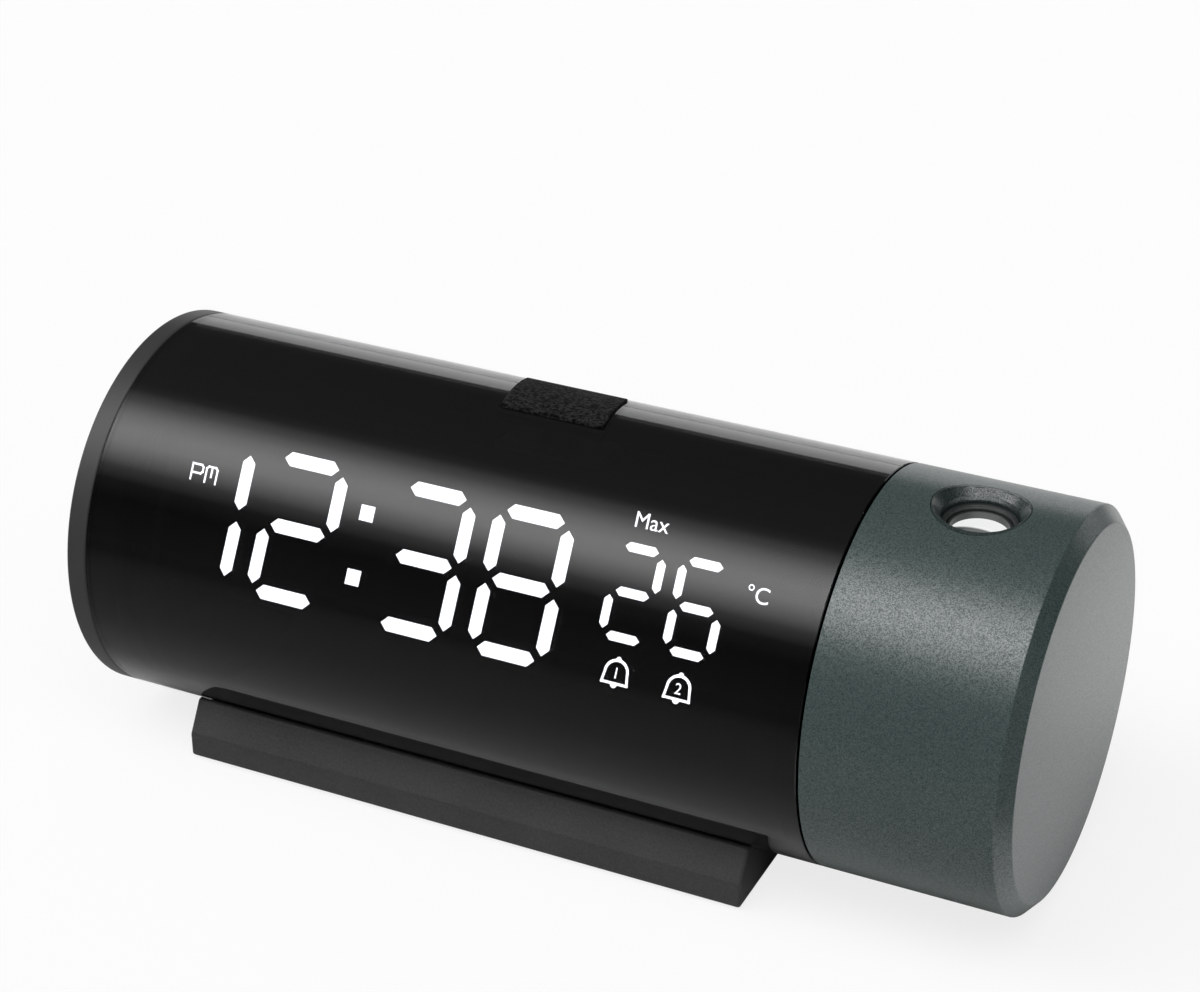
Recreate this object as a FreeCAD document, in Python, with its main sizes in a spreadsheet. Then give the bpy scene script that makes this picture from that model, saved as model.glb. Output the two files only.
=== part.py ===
import FreeCAD, Part
import math
import os
import re

import Sketcher

# Projection alarm clock: a tube lying on a low foot, with a turning projector head at its right end.
# X runs along the tube, -Y is the front, +Z is up. The origin is on the table, under the middle.

document = FreeCAD.newDocument("ProjectionAlarmClock")
sheet = document.addObject("Spreadsheet::Sheet", "Dimensions")

# Driving dimensions: millimetres, and degrees of elevation above the front horizontal
DIMENSIONS = {
    # Whole clock
    "overall_length": 170.0,
    "tube_radius": 34.0,
    "table_gap": 2.0,
    "fit_gap": 0.15,
    "screw_head_depth": 1.4,
    # Tube: glossy cover in front and on top, housing behind and below
    "cover_wall": 1.8,
    "housing_wall": 2.2,
    "cover_low_edge": -58.0,
    "cover_high_edge": 128.0,
    "seam_angle": 0.3,
    "turning_gap": 0.4,
    # Left end
    "end_ring_width": 3.85,
    "end_plate_wall": 2.4,
    "spigot_length": 5.0,
    "spigot_wall": 2.0,
    "grille_hole_radius": 0.9,
    "grille_ring_pitch": 4.0,
    "end_edge_chamfer": 0.5,
    "speaker_radius": 17.0,
    "speaker_rim": 1.5,
    "speaker_rim_height": 1.4,
    "speaker_wall": 0.8,
    "speaker_seat_height": 2.4,
    "basket_back_radius": 12.2,
    "basket_depth": 5.4,
    "cone_start": 0.5,
    "cone_wall": 0.4,
    "cone_gap": 0.1,
    "cone_neck_radius": 5.1,
    "magnet_radius": 9.4,
    "magnet_depth": 3.6,
    # Bulkheads and the hub that the head turns on
    "bulkhead_place": 12.6,
    "bulkhead_wall": 3.4,
    "bulkhead_fit": 0.1,
    "lead_opening_size": 10.0,
    "hub_radius": 14.0,
    "hub_wall": 3.0,
    "hub_length": 6.4,
    "hub_running_gap": 0.05,
    "bearing_setback": 0.6,
    "washer_gap": 0.05,
    "washer_width": 5.7,
    "washer_clearance": 0.3,
    "retainer_width": 2.5,
    "retainer_wall": 1.2,
    # Display block, tilted to face the viewer
    "display_angle": 31.0,
    "display_setback": 6.4,
    "mask_depth": 4.0,
    "display_low": -13.0,
    "display_high": 16.3,
    "board_wall": 1.5,
    "display_board_inset": 0.6,
    "carrier_wall": 2.0,
    "carrier_rim": 7.0,
    "carrier_inset": 2.0,
    # Time digits, their colon, and the smaller temperature digits
    "display_left_room": 0.8,
    "digit_gap": 5.5,
    "colon_room": 6.1,
    "small_group_gap": 9.3,
    "small_digit_gap": 3.65,
    "display_right_room": 14.35,
    "digit_centre": 0.4,
    "digit_height": 22.4,
    "digit_width": 12.4,
    "bar_width": 2.0,
    "bar_gap": 0.75,
    "bar_depth": 2.7,
    "small_digit_centre": 3.25,
    "small_digit_height": 14.3,
    "small_digit_width": 7.55,
    "small_bar_width": 1.3,
    "small_bar_gap": 0.65,
    "colon_high": 5.8,
    "colon_low": -4.9,
    "colon_size": 1.9,
    "display_chip_size": 0.9,
    "display_chip_height": 0.7,
    # Snooze pad on top
    "snooze_angle": 99.4,
    "snooze_length": 19.0,
    "snooze_width": 14.8,
    "snooze_lean": 1.2,
    "snooze_rise": 0.5,
    "snooze_travel": 0.6,
    "snooze_place": 76.5,
    "flange_width": 0.9,
    "flange_wall": 0.8,
    "snooze_flange_depth": 2.0,
    "snooze_switch_height": 3.5,
    "rest_clearance": 0.05,
    "rail_wall": 2.0,
    "rail_width": 12.0,
    # Keys on the back
    "key_angle": 152.0,
    "key_length": 9.0,
    "key_width": 5.0,
    "key_rise": 0.6,
    "key_travel": 0.5,
    "key_pitch": 14.0,
    "key_middle": 70.6,
    "key_flange_gap": 0.3,
    "key_switch_height": 2.2,
    "key_board_width": 9.0,
    "switch_size": 4.5,
    "circuit_wall": 1.2,
    # Main board
    "main_board_place": 5.0,
    "main_board_low": -20.0,
    "main_board_setback": 18.0,
    "clock_chip_height_up": 2.0,
    "clock_chip_size": 12.0,
    "clock_chip_wall": 1.6,
    "driver_chip_place": -30.0,
    "driver_chip_height_up": 4.0,
    "driver_chip_length": 10.0,
    "driver_chip_width": 7.0,
    "driver_chip_wall": 1.5,
    "crystal_place": 16.0,
    "crystal_height_up": 6.0,
    "crystal_radius": 1.5,
    "crystal_length": 6.0,
    "capacitor_place": 30.0,
    "capacitor_height_up": 2.0,
    "capacitor_radius": 4.0,
    "capacitor_length": 9.0,
    "socket_place": -52.0,
    "socket_length": 8.0,
    "socket_width": 5.0,
    # Backup cell in its bay, and the power inlet
    "bay_angle": 205.0,
    "bay_place": 60.0,
    "bay_opening": 24.0,
    "bay_wall": 1.5,
    "bay_depth": 12.0,
    "holder_height": 6.4,
    "contact_floor": 2.6,
    "contact_radius": 8.0,
    "contact_wall": 0.25,
    "cell_radius": 10.0,
    "cell_height": 3.2,
    "inlet_from_bulkhead": 19.4,
    "inlet_width": 9.0,
    "inlet_height": 3.2,
    "inlet_wall": 0.3,
    "inlet_depth": 10.0,
    "inlet_recess": 0.3,
    "inlet_back_wall": 1.0,
    "tongue_width": 6.6,
    "tongue_wall": 0.7,
    "tongue_start": 0.5,
    "tongue_length": 7.6,
    "inlet_board_side": 2.0,
    "inlet_board_depth": 7.3,
    # Projector head
    "head_length": 34.2,
    "head_wall": 2.0,
    "head_end_wall": 2.2,
    "chamfer_length": 2.2,
    "chamfer_depth": 2.6,
    "collar_setback": 0.8,
    "collar_wall": 2.4,
    "collar_fit": 0.1,
    "head_post_gap": 1.0,
    "head_post_radius": 2.6,
    "head_post_inset": 5.0,
    "head_screw_radius": 1.1,
    "head_screw_length": 8.0,
    "post_bore_depth": 9.0,
    "lens_from_end": 18.1,
    "bezel_radius": 7.9,
    "bezel_bore": 6.3,
    "bezel_flange": 9.2,
    "bezel_rise": 0.2,
    "bezel_fit": 0.1,
    "bezel_flange_wall": 1.8,
    "bezel_chamfer_depth": 1.9,
    "focus_ring_wall": 0.85,
    "focus_ring_height": 2.4,
    "focus_ring_gap": 0.05,
    "focus_ring_fit": 0.15,
    "barrel_radius": 5.2,
    "barrel_wall": 0.45,
    "barrel_length": 15.0,
    "barrel_rise": 1.6,
    "barrel_fit": 0.1,
    "lens_height": 2.4,
    "lens_curve": 13.0,
    "lens_recess": 0.3,
    "lens_fit": 0.03,
    "optics_arm_width": 12.0,
    "condenser_floor": 2.0,
    "condenser_height": 3.0,
    "slide_floor": 8.0,
    "slide_wall": 1.1,
    "light_chip_size": 2.6,
    "light_chip_height": 1.2,
    "sink_size": 13.0,
    "sink_height": 6.0,
    "sink_base": 1.5,
    "sink_slot_width": 1.4,
    "sink_slot_pitch": 2.8,
    "tube_floor": 6.0,
    "tube_setback": 5.4,
    # Foot
    "foot_start": 17.6,
    "foot_right_inset": 12.2,
    "foot_half_width": 26.8,
    "foot_base": 0.5,
    "foot_edge_height": 5.0,
    "foot_lip_half": 23.4,
    "foot_lip_height": 10.6,
    "foot_round": 0.6,
    "foot_pocket_depth": 2.6,
    "pad_radius": 3.5,
    "pad_depth": 1.2,
    "pad_inset": 7.0,
    "pad_half_spacing": 19.0,
    "foot_screw_half": 14.0,
    "foot_screw_inset": 24.0,
    "foot_screw_radius": 1.2,
    "foot_screw_length": 12.0,
    "foot_seat_gap": 0.1,
    "boss_radius": 2.8,
    "boss_length": 15.0,
    "boss_bore_length": 13.0,
    "screw_head_sink": 0.2,
    # Screws that hold the housing to the bulkheads
    "screw_angle_high": 168.0,
    "screw_angle_low": 236.0,
    "housing_screw_radius": 1.0,
    "housing_screw_length": 7.0,
    "screw_head_radius": 2.0,
}

for row, (alias, size) in enumerate(DIMENSIONS.items(), start=1):
    sheet.set("A%d" % row, alias)
    sheet.set("B%d" % row, str(size))
    sheet.setAlias("B%d" % row, alias)
document.recompute()

# Places along the tube, measured from the left end face as the sheet gives them
AXIS_HEIGHT = "(tube_radius + table_gap)"
LEFT_FACE = "(0 - overall_length / 2)"
HEAD_START = "(overall_length / 2 - head_length)"
COVER_START = "(end_ring_width - overall_length / 2)"
COVER_LENGTH = "(overall_length - head_length - turning_gap - end_ring_width)"
INNER_LEFT = "(bulkhead_place + bulkhead_wall - overall_length / 2)"
BEARING_END = "(overall_length / 2 - head_length - turning_gap - bearing_setback)"
INNER_RIGHT = "(overall_length / 2 - head_length - turning_gap - bearing_setback - bulkhead_wall)"
INNER_SPAN = "(%s - %s)" % (INNER_RIGHT, INNER_LEFT)
INNER_MIDDLE = "((%s + %s) / 2)" % (INNER_LEFT, INNER_RIGHT)
BULKHEAD_RADIUS = "(tube_radius - housing_wall - bulkhead_fit)"
LENS_PLACE = "(overall_length / 2 - lens_from_end)"
INLET_PLACE = "(%s - inlet_from_bulkhead)" % INNER_RIGHT
FOOT_LENGTH = "(overall_length - head_length - foot_right_inset - foot_start)"

# Depths measured from the tube's axis
DISPLAY_FACE = "(tube_radius - display_setback)"
MAIN_BOARD_HIGH = "(tube_radius - main_board_setback)"
BAY_FLOOR = "(tube_radius - bay_depth)"
TUBE_TOP = "(tube_radius - tube_setback)"
HEAD_POST_CIRCLE = "(tube_radius - head_post_inset)"

PIECES = []


def bound(expression):
    """Point every alias in an expression at its cell."""
    return re.sub(r"[a-z]+(_[a-z]+)+", lambda found: "Dimensions." + found.group(0), expression)


def size_of(alias):
    """The number that a cell of the sheet holds."""
    return float(sheet.get(alias))


def from_left(alias):
    """A place on the X axis, given in the sheet from the left end face."""
    return "(%s - overall_length / 2)" % alias


def vector(along, across, up):
    return "create(<<vector>>; %s; %s; %s)" % (along, across, up)


def placement(place, axis, angle):
    return "create(<<placement>>; %s; create(<<rotation>>; %s; %s))" % (place, axis, angle)


def upright(along, across, up):
    """Placement with no turn."""
    return placement(vector(along, across, up), vector("0", "0", "1"), "0")


def along_tube(along, start="0"):
    """Local Z runs along the tube, local X points back, and the start angle turns it over the top."""
    turned_start = placement(vector(along, "0", AXIS_HEIGHT), vector("1", "0", "0"), start)
    lying = placement(vector("0", "0", "0"), vector("1", "1", "1"), "120")
    return turned_start + " * " + lying


def facing(elevation, along, up, out):
    """Local Z points out of the tube at an elevation above the front, local X runs along the tube."""
    tilted = placement(vector("0", "0", AXIS_HEIGHT), vector("1", "0", "0"), "90 - (%s)" % elevation)
    shifted = upright(along, up, out)
    return tilted + " * " + shifted


def cylinder(name, radius, height, where, angle="360"):
    solid = document.addObject("Part::Cylinder", name)
    solid.setExpression("Radius", bound(radius))
    solid.setExpression("Height", bound(height))
    solid.setExpression("Angle", bound(angle))
    solid.setExpression("Placement", bound(where))
    return solid


def block(name, elevation, middle, centre, out, length, width, height):
    """A box whose lower face is centred on a place of the frame that faces an elevation."""
    solid = document.addObject("Part::Box", name)
    solid.setExpression("Length", bound(length))
    solid.setExpression("Width", bound(width))
    solid.setExpression("Height", bound(height))
    start = "%s - (%s) / 2" % (middle, length)
    side = "%s - (%s) / 2" % (centre, width)
    solid.setExpression("Placement", bound(facing(elevation, start, side, out)))
    return solid


def cut(name, base, tool):
    solid = document.addObject("Part::Cut", name)
    solid.Base = base
    solid.Tool = tool
    return solid


def join(name, solids):
    solid = document.addObject("Part::MultiFuse", name)
    solid.Shapes = solids
    return solid


def common(name, first, second):
    solid = document.addObject("Part::Common", name)
    solid.Base = first
    solid.Tool = second
    return solid


def group(name, solids):
    """Separate like solids that share one node."""
    compound = document.addObject("Part::Compound", name)
    compound.Links = solids
    return compound


def outline(body, role, points):
    """A closed sketch whose corners are each held by two expressions."""
    plane = [feature for feature in body.Origin.OriginFeatures if feature.Role == role][0]
    sketch = body.newObject("Sketcher::SketchObject", body.Name + "_outline")
    sketch.AttachmentSupport = [(plane, "")]
    sketch.MapMode = "FlatFace"
    count = len(points)
    spread = 10.0
    corners = []
    for index in range(count):
        turn = 2 * math.pi * index / count
        corners.append(FreeCAD.Vector(spread * math.cos(turn), spread * math.sin(turn), 0))
    for index in range(count):
        sketch.addGeometry(Part.LineSegment(corners[index], corners[(index + 1) % count]), False)
    for index in range(count):
        sketch.addConstraint(Sketcher.Constraint("Coincident", index, 2, (index + 1) % count, 1))
    for index, (across, up) in enumerate(points):
        for kind, place, axis in (("DistanceX", across, -2), ("DistanceY", up, -1)):
            if place == "0":
                sketch.addConstraint(Sketcher.Constraint("PointOnObject", index, 1, axis))
                continue
            number = sketch.addConstraint(Sketcher.Constraint(kind, -1, 1, index, 1, 1.0))
            sketch.setExpression("Constraints[%d]" % number, bound(place))
    return sketch


def turned(name, points, where):
    """A body turned about its own Z from a half section of (radius, height) corners."""
    body = document.addObject("PartDesign::Body", name)
    sketch = outline(body, "XZ_Plane", points)
    revolution = body.newObject("PartDesign::Revolution", name + "_turning")
    revolution.Profile = sketch
    revolution.ReferenceAxis = (sketch, ["V_Axis"])
    revolution.Angle = 360
    body.setExpression("Placement", bound(where))
    return body


def extruded(name, points, height, where, role="XY_Plane"):
    """A body padded from a closed outline."""
    body = document.addObject("PartDesign::Body", name)
    pad = body.newObject("PartDesign::Pad", name + "_pad")
    pad.Profile = outline(body, role, points)
    pad.setExpression("Length", bound(height))
    body.Tip = pad
    body.setExpression("Placement", bound(where))
    return body


def piece(solid, label):
    """Name a finished sub-part; its label is its file's name."""
    solid.Label = label
    PIECES.append(solid)
    return solid


def arc_shell(name, radius, wall, start, length, low, high):
    """A wall of the tube between two elevations."""
    turn = "180 - (%s)" % high
    span = "(%s) - (%s)" % (high, low)
    outer = cylinder(name + "_outer", radius, length, along_tube(start, turn), span)
    inner = cylinder(name + "_inner", "%s - %s" % (radius, wall), length, along_tube(start))
    return cut(name, outer, inner)


def lozenge(grow):
    """Outline of the snooze pad, a parallelogram whose ends lean, grown all round."""
    half_width = "(snooze_width / 2 + %s)" % grow
    half_length = "(snooze_length / 2 + %s)" % grow
    return [
        ("0 - %s + snooze_lean" % half_length, "0 - " + half_width),
        ("%s + snooze_lean" % half_length, "0 - " + half_width),
        ("%s - snooze_lean" % half_length, half_width),
        ("0 - %s - snooze_lean" % half_length, half_width),
    ]


# Display cover: the tinted glossy wall in front and on top, open under the snooze pad
def make_display_cover():
    shell = arc_shell("cover_shell", "tube_radius", "cover_wall", COVER_START, COVER_LENGTH,
                      "cover_low_edge", "cover_high_edge")
    where = facing("snooze_angle", from_left("snooze_place"), "0", "tube_radius - 3 * cover_wall")
    slot = extruded("snooze_slot", lozenge("fit_gap"), "5 * cover_wall", where)
    piece(cut("display_cover", shell, slot), "display_cover")


# Rear housing: the matte wall behind and below, with key holes, cell bay, inlet slot and screw bosses
def foot_screw_places():
    places = []
    for end in ("foot_start + foot_screw_inset", "foot_start + %s - foot_screw_inset" % FOOT_LENGTH):
        for side in ("0 - foot_screw_half", "foot_screw_half"):
            places.append((from_left("(%s)" % end), side))
    return places


def housing_screw_places():
    places = []
    for along in ("%s - bulkhead_wall / 2" % INNER_LEFT, "%s - bulkhead_wall / 2" % BEARING_END):
        for elevation in ("screw_angle_high", "screw_angle_low"):
            places.append((along, elevation))
    return places


def key_places():
    return [from_left("key_middle") + " + %d * key_pitch" % step for step in (-2, -1, 0, 1, 2)]


def make_rear_housing():
    shell = arc_shell("housing_shell", "tube_radius", "housing_wall", COVER_START, COVER_LENGTH,
                      "cover_high_edge + seam_angle", "cover_low_edge + 360 - seam_angle")
    bay_width = "bay_opening + 2 * bay_wall"
    bay = block("bay_block", "bay_angle", from_left("bay_place"), "0", BAY_FLOOR + " - bay_wall",
                bay_width, bay_width, "bay_depth")
    inside = cylinder("bay_limit", "tube_radius - housing_wall / 2", COVER_LENGTH, along_tube(COVER_START))
    bosses = []
    for index, (along, side) in enumerate(foot_screw_places()):
        place = upright(along, side, "foot_base")
        bosses.append(cylinder("boss_%d" % index, "boss_radius", "boss_length", place))
    inner_forms = common("inner_forms", join("bay_and_bosses", [bay] + bosses), inside)
    whole = join("housing_whole", [shell, inner_forms])

    tools = [block("bay_cut", "bay_angle", from_left("bay_place"), "0", BAY_FLOOR,
                   "bay_opening", "bay_opening", "tube_radius")]
    for index, along in enumerate(key_places()):
        tools.append(block("key_hole_%d" % index, "key_angle", along, "0",
                           "tube_radius - 3 * housing_wall", "key_length + 2 * fit_gap",
                           "key_width + 2 * fit_gap", "5 * housing_wall"))
    tools.append(block("inlet_slot", "bay_angle", INLET_PLACE, "0",
                       "tube_radius - 3 * housing_wall", "inlet_width + 2 * fit_gap",
                       "inlet_height + 2 * fit_gap", "5 * housing_wall"))
    for index, (along, side) in enumerate(foot_screw_places()):
        tools.append(cylinder("boss_bore_%d" % index, "foot_screw_radius", "boss_bore_length",
                              upright(along, side, "foot_base")))
    for index, (along, elevation) in enumerate(housing_screw_places()):
        tools.append(cylinder("housing_hole_%d" % index, "housing_screw_radius", "3 * housing_wall",
                              facing(elevation, along, "0", "tube_radius - 2 * housing_wall")))
        tools.append(cylinder("head_recess_%d" % index, "screw_head_radius + fit_gap", "3 * housing_wall",
                              facing(elevation, along, "0", "tube_radius - screw_head_depth")))
    piece(cut("rear_housing", whole, join("housing_cuts", tools)), "rear_housing")


# Left end cap: a plate with a rim, a spigot that plugs into the tube, and a grille for the speaker
def make_left_end_cap():
    spigot_radius = "(tube_radius - housing_wall - fit_gap)"
    spigot_end = "(end_ring_width + spigot_length)"
    blank = turned("end_cap_blank", [
        ("0", "0"),
        ("tube_radius - end_edge_chamfer", "0"),
        ("tube_radius", "end_edge_chamfer"),
        ("tube_radius", "end_ring_width"),
        (spigot_radius, "end_ring_width"),
        (spigot_radius, spigot_end),
        (spigot_radius + " - spigot_wall", spigot_end),
        (spigot_radius + " - spigot_wall", "end_plate_wall"),
        ("0", "end_plate_wall"),
    ], along_tube(LEFT_FACE))
    seat_outer = cylinder("speaker_seat_outer", "speaker_radius + fit_gap + spigot_wall",
                          "end_plate_wall + speaker_seat_height", along_tube(LEFT_FACE))
    seat_inner = cylinder("speaker_seat_inner", "speaker_radius + fit_gap", "2 * speaker_seat_height",
                          along_tube(LEFT_FACE + " + end_plate_wall"))
    seat_full = cylinder("speaker_seat_plate", "speaker_radius", "end_plate_wall", along_tube(LEFT_FACE))
    seat = join("speaker_seat", [cut("speaker_seat_ring", seat_outer, seat_inner), seat_full])
    holes = []
    for ring, count in enumerate((1, 6, 12, 18)):
        for index in range(count):
            turn = 360.0 * index / count
            place = along_tube(LEFT_FACE + " - 1", "%.1f" % turn)
            place += " * " + upright("%d * grille_ring_pitch" % ring, "0", "0")
            holes.append(cylinder("grille_hole_%d_%d" % (ring, index), "grille_hole_radius",
                                  "end_plate_wall + 2", place))
    whole = join("end_cap_whole", [blank, seat])
    piece(cut("left_end_cap", whole, group("grille_holes", holes)), "left_end_cap")


# Speaker: basket, cone and magnet, seated behind the grille
def make_speaker():
    start = "%s + end_plate_wall" % LEFT_FACE
    basket = turned("speaker_basket", [
        ("speaker_radius - speaker_rim", "0"),
        ("speaker_radius", "0"),
        ("speaker_radius", "speaker_rim_height"),
        ("basket_back_radius", "basket_depth"),
        ("0", "basket_depth"),
        ("0", "basket_depth - speaker_wall"),
        ("basket_back_radius - speaker_wall", "basket_depth - speaker_wall"),
        ("speaker_radius - speaker_rim", "speaker_rim_height - cone_wall"),
    ], along_tube(start))
    piece(basket, "speaker_basket")
    cone_edge = "(speaker_radius - speaker_rim - cone_gap)"
    cone_back = "(basket_depth - speaker_wall - cone_gap)"
    cone = turned("speaker_cone", [
        (cone_edge, "cone_start"),
        (cone_edge, "cone_start + cone_wall"),
        ("cone_neck_radius", cone_back),
        ("0", cone_back),
        ("0", cone_back + " - cone_wall"),
        ("cone_neck_radius - cone_wall / 2", cone_back + " - cone_wall"),
        (cone_edge + " - cone_wall", "cone_start"),
    ], along_tube(start))
    piece(cone, "speaker_cone")
    magnet = cylinder("speaker_magnet", "magnet_radius", "magnet_depth",
                      along_tube(start + " + basket_depth"))
    piece(magnet, "speaker_magnet")


# Bulkheads: the left one carries the boards, the right one also has the hub that the head turns on
def make_bulkheads():
    left_start = "%s - bulkhead_wall" % INNER_LEFT
    disc = cylinder("left_disc", BULKHEAD_RADIUS, "bulkhead_wall", along_tube(left_start))
    opening = block("lead_opening", "180", left_start + " + bulkhead_wall / 2", "0",
                    "0 - lead_opening_size / 2", "2 * bulkhead_wall", "lead_opening_size",
                    "lead_opening_size")
    right = turned("bearing_blank", [
        ("hub_radius - hub_wall", "0"),
        (BULKHEAD_RADIUS, "0"),
        (BULKHEAD_RADIUS, "bulkhead_wall"),
        ("hub_radius", "bulkhead_wall"),
        ("hub_radius", "bulkhead_wall + hub_length"),
        ("hub_radius - hub_wall", "bulkhead_wall + hub_length"),
    ], along_tube(INNER_RIGHT))
    bores = []
    for index, (along, elevation) in enumerate(housing_screw_places()):
        bores.append(cylinder("bulkhead_bore_%d" % index, "housing_screw_radius", "housing_screw_length",
                              facing(elevation, along, "0", "tube_radius - housing_screw_length")))
    left_plain = cut("left_plain", disc, opening)
    piece(cut("left_bulkhead", left_plain, group("left_bores", bores[:2])), "left_bulkhead")
    piece(cut("bearing_bulkhead", right, group("right_bores", bores[2:])), "bearing_bulkhead")


# Housing screws: pan heads sunk in the back of the housing, threads in the bulkheads' rims
def screw(name, radius, length, head_radius, head_height, where):
    """A screw whose head's outer face is on the place given, pointing back along local Z."""
    shank = cylinder(name + "_shank", radius, length, where + " * " + upright("0", "0", "0 - (%s)" % length))
    head = cylinder(name + "_head", head_radius, head_height,
                    where + " * " + upright("0", "0", "0 - (%s)" % head_height))
    socket = document.addObject("Part::Box", name + "_slot")
    socket.setExpression("Length", bound("2 * (%s)" % head_radius))
    socket.setExpression("Width", bound("(%s) / 4" % head_radius))
    socket.setExpression("Height", bound(head_height))
    corner = upright("0 - (%s)" % head_radius, "0 - (%s) / 8" % head_radius, "0 - (%s) / 2" % head_height)
    socket.setExpression("Placement", bound(where + " * " + corner))
    return cut(name, join(name + "_blank", [shank, head]), socket)


def make_housing_screws():
    screws = []
    for index, (along, elevation) in enumerate(housing_screw_places()):
        where = facing(elevation, along, "0", "tube_radius - screw_head_sink")
        screws.append(screw("housing_screw_%d" % index, "housing_screw_radius",
                            "housing_screw_length - screw_head_sink", "screw_head_radius",
                            "screw_head_depth - screw_head_sink", where))
    piece(group("housing_screws", screws), "housing_screws")


# Display: a black mask with segment windows, light bars that fill them, chips, board and carrier
DIGIT_SEGMENTS = {"a": (0, 1), "g": (0, 0), "d": (0, -1)}
DIGIT_SEGMENTS.update({"b": (1, 1), "c": (1, -1), "f": (-1, 1), "e": (-1, -1)})
MAIN_DIGITS = ("bc", "abged", "abgcd", "abcdefg")
SMALL_DIGITS = ("abged", "acdefg")


def bar(centre_x, centre_y, length, width, flat, bottom, top):
    """One light bar: a long hexagon with pointed ends."""
    half = length / 2
    side = width / 2
    points = [(-half, 0), (side - half, -side), (half - side, -side), (half, 0)]
    points += [(half - side, side), (side - half, side)]
    corners = []
    for along, across in points:
        if flat:
            corners.append(FreeCAD.Vector(centre_x + along, centre_y + across, bottom))
        else:
            corners.append(FreeCAD.Vector(centre_x + across, centre_y + along, bottom))
    face = Part.Face(Part.makePolygon(corners + corners[:1]))
    return face.extrude(FreeCAD.Vector(0, 0, top - bottom))


def digit_bars(middle_x, middle_y, height, width, thick, gap, lit, names, bottom, top):
    """The bars of one digit that are lit, or those that are dark."""
    solids = []
    for name, (side, level) in DIGIT_SEGMENTS.items():
        if (name in names) != lit:
            continue
        if side == 0:
            solids.append(bar(middle_x, middle_y + level * height / 2, width - 2 * gap * math.sqrt(2), thick,
                              True, bottom, top))
        else:
            solids.append(bar(middle_x + side * width / 2, middle_y + level * height / 4,
                              height / 2 - 2 * gap * math.sqrt(2), thick, False, bottom, top))
    return solids


def digit_middles():
    """Middles of the six digits: their gaps share the room that the bulkheads leave."""
    room = size_of("overall_length") - size_of("head_length") - size_of("turning_gap")
    room -= size_of("bearing_setback") + 2 * size_of("bulkhead_wall") + size_of("bulkhead_place")
    gaps = [size_of("display_left_room"), size_of("digit_gap"), size_of("digit_gap") + size_of("colon_room")]
    gaps += [size_of("digit_gap"), size_of("small_group_gap"), size_of("small_digit_gap")]
    widths = [size_of("digit_width")] * len(MAIN_DIGITS)
    widths += [size_of("small_digit_width")] * len(SMALL_DIGITS)
    stretch = (room - sum(widths)) / (sum(gaps) + size_of("display_right_room"))
    edge = size_of("bulkhead_place") + size_of("bulkhead_wall") - size_of("overall_length") / 2
    middles = []
    for gap, width in zip(gaps, widths):
        edge += gap * stretch
        middles.append(edge + width / 2)
        edge += width
    return middles


def display_bars(lit, bottom, top):
    """Every bar of the display in its own frame: X along the tube, Y up the tilted face."""
    middles = digit_middles()
    solids = []
    for names, middle in zip(MAIN_DIGITS, middles):
        if not lit and names == MAIN_DIGITS[0]:
            continue
        solids += digit_bars(middle, size_of("digit_centre"), size_of("digit_height"),
                             size_of("digit_width"), size_of("bar_width"), size_of("bar_gap"), lit, names,
                             bottom, top)
    for names, middle in zip(SMALL_DIGITS, middles[len(MAIN_DIGITS):]):
        solids += digit_bars(middle, size_of("small_digit_centre"), size_of("small_digit_height"),
                             size_of("small_digit_width"), size_of("small_bar_width"),
                             size_of("small_bar_gap"), lit, names, bottom, top)
    if lit:
        size = size_of("colon_size")
        middle = (middles[1] + middles[2]) / 2
        for level in (size_of("colon_high"), size_of("colon_low")):
            corner = FreeCAD.Vector(middle - size / 2, level - size / 2, bottom)
            solids.append(Part.makeBox(size, size, top - bottom, corner))
    return solids


def display_feature(name, solids):
    """A group of solids given in the display's frame, placed on the tilted display."""
    feature = document.addObject("Part::Feature", name)
    feature.Shape = Part.makeCompound(solids)
    feature.setExpression("Placement", bound(facing("display_angle", "0", "0", "0")))
    return feature


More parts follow.
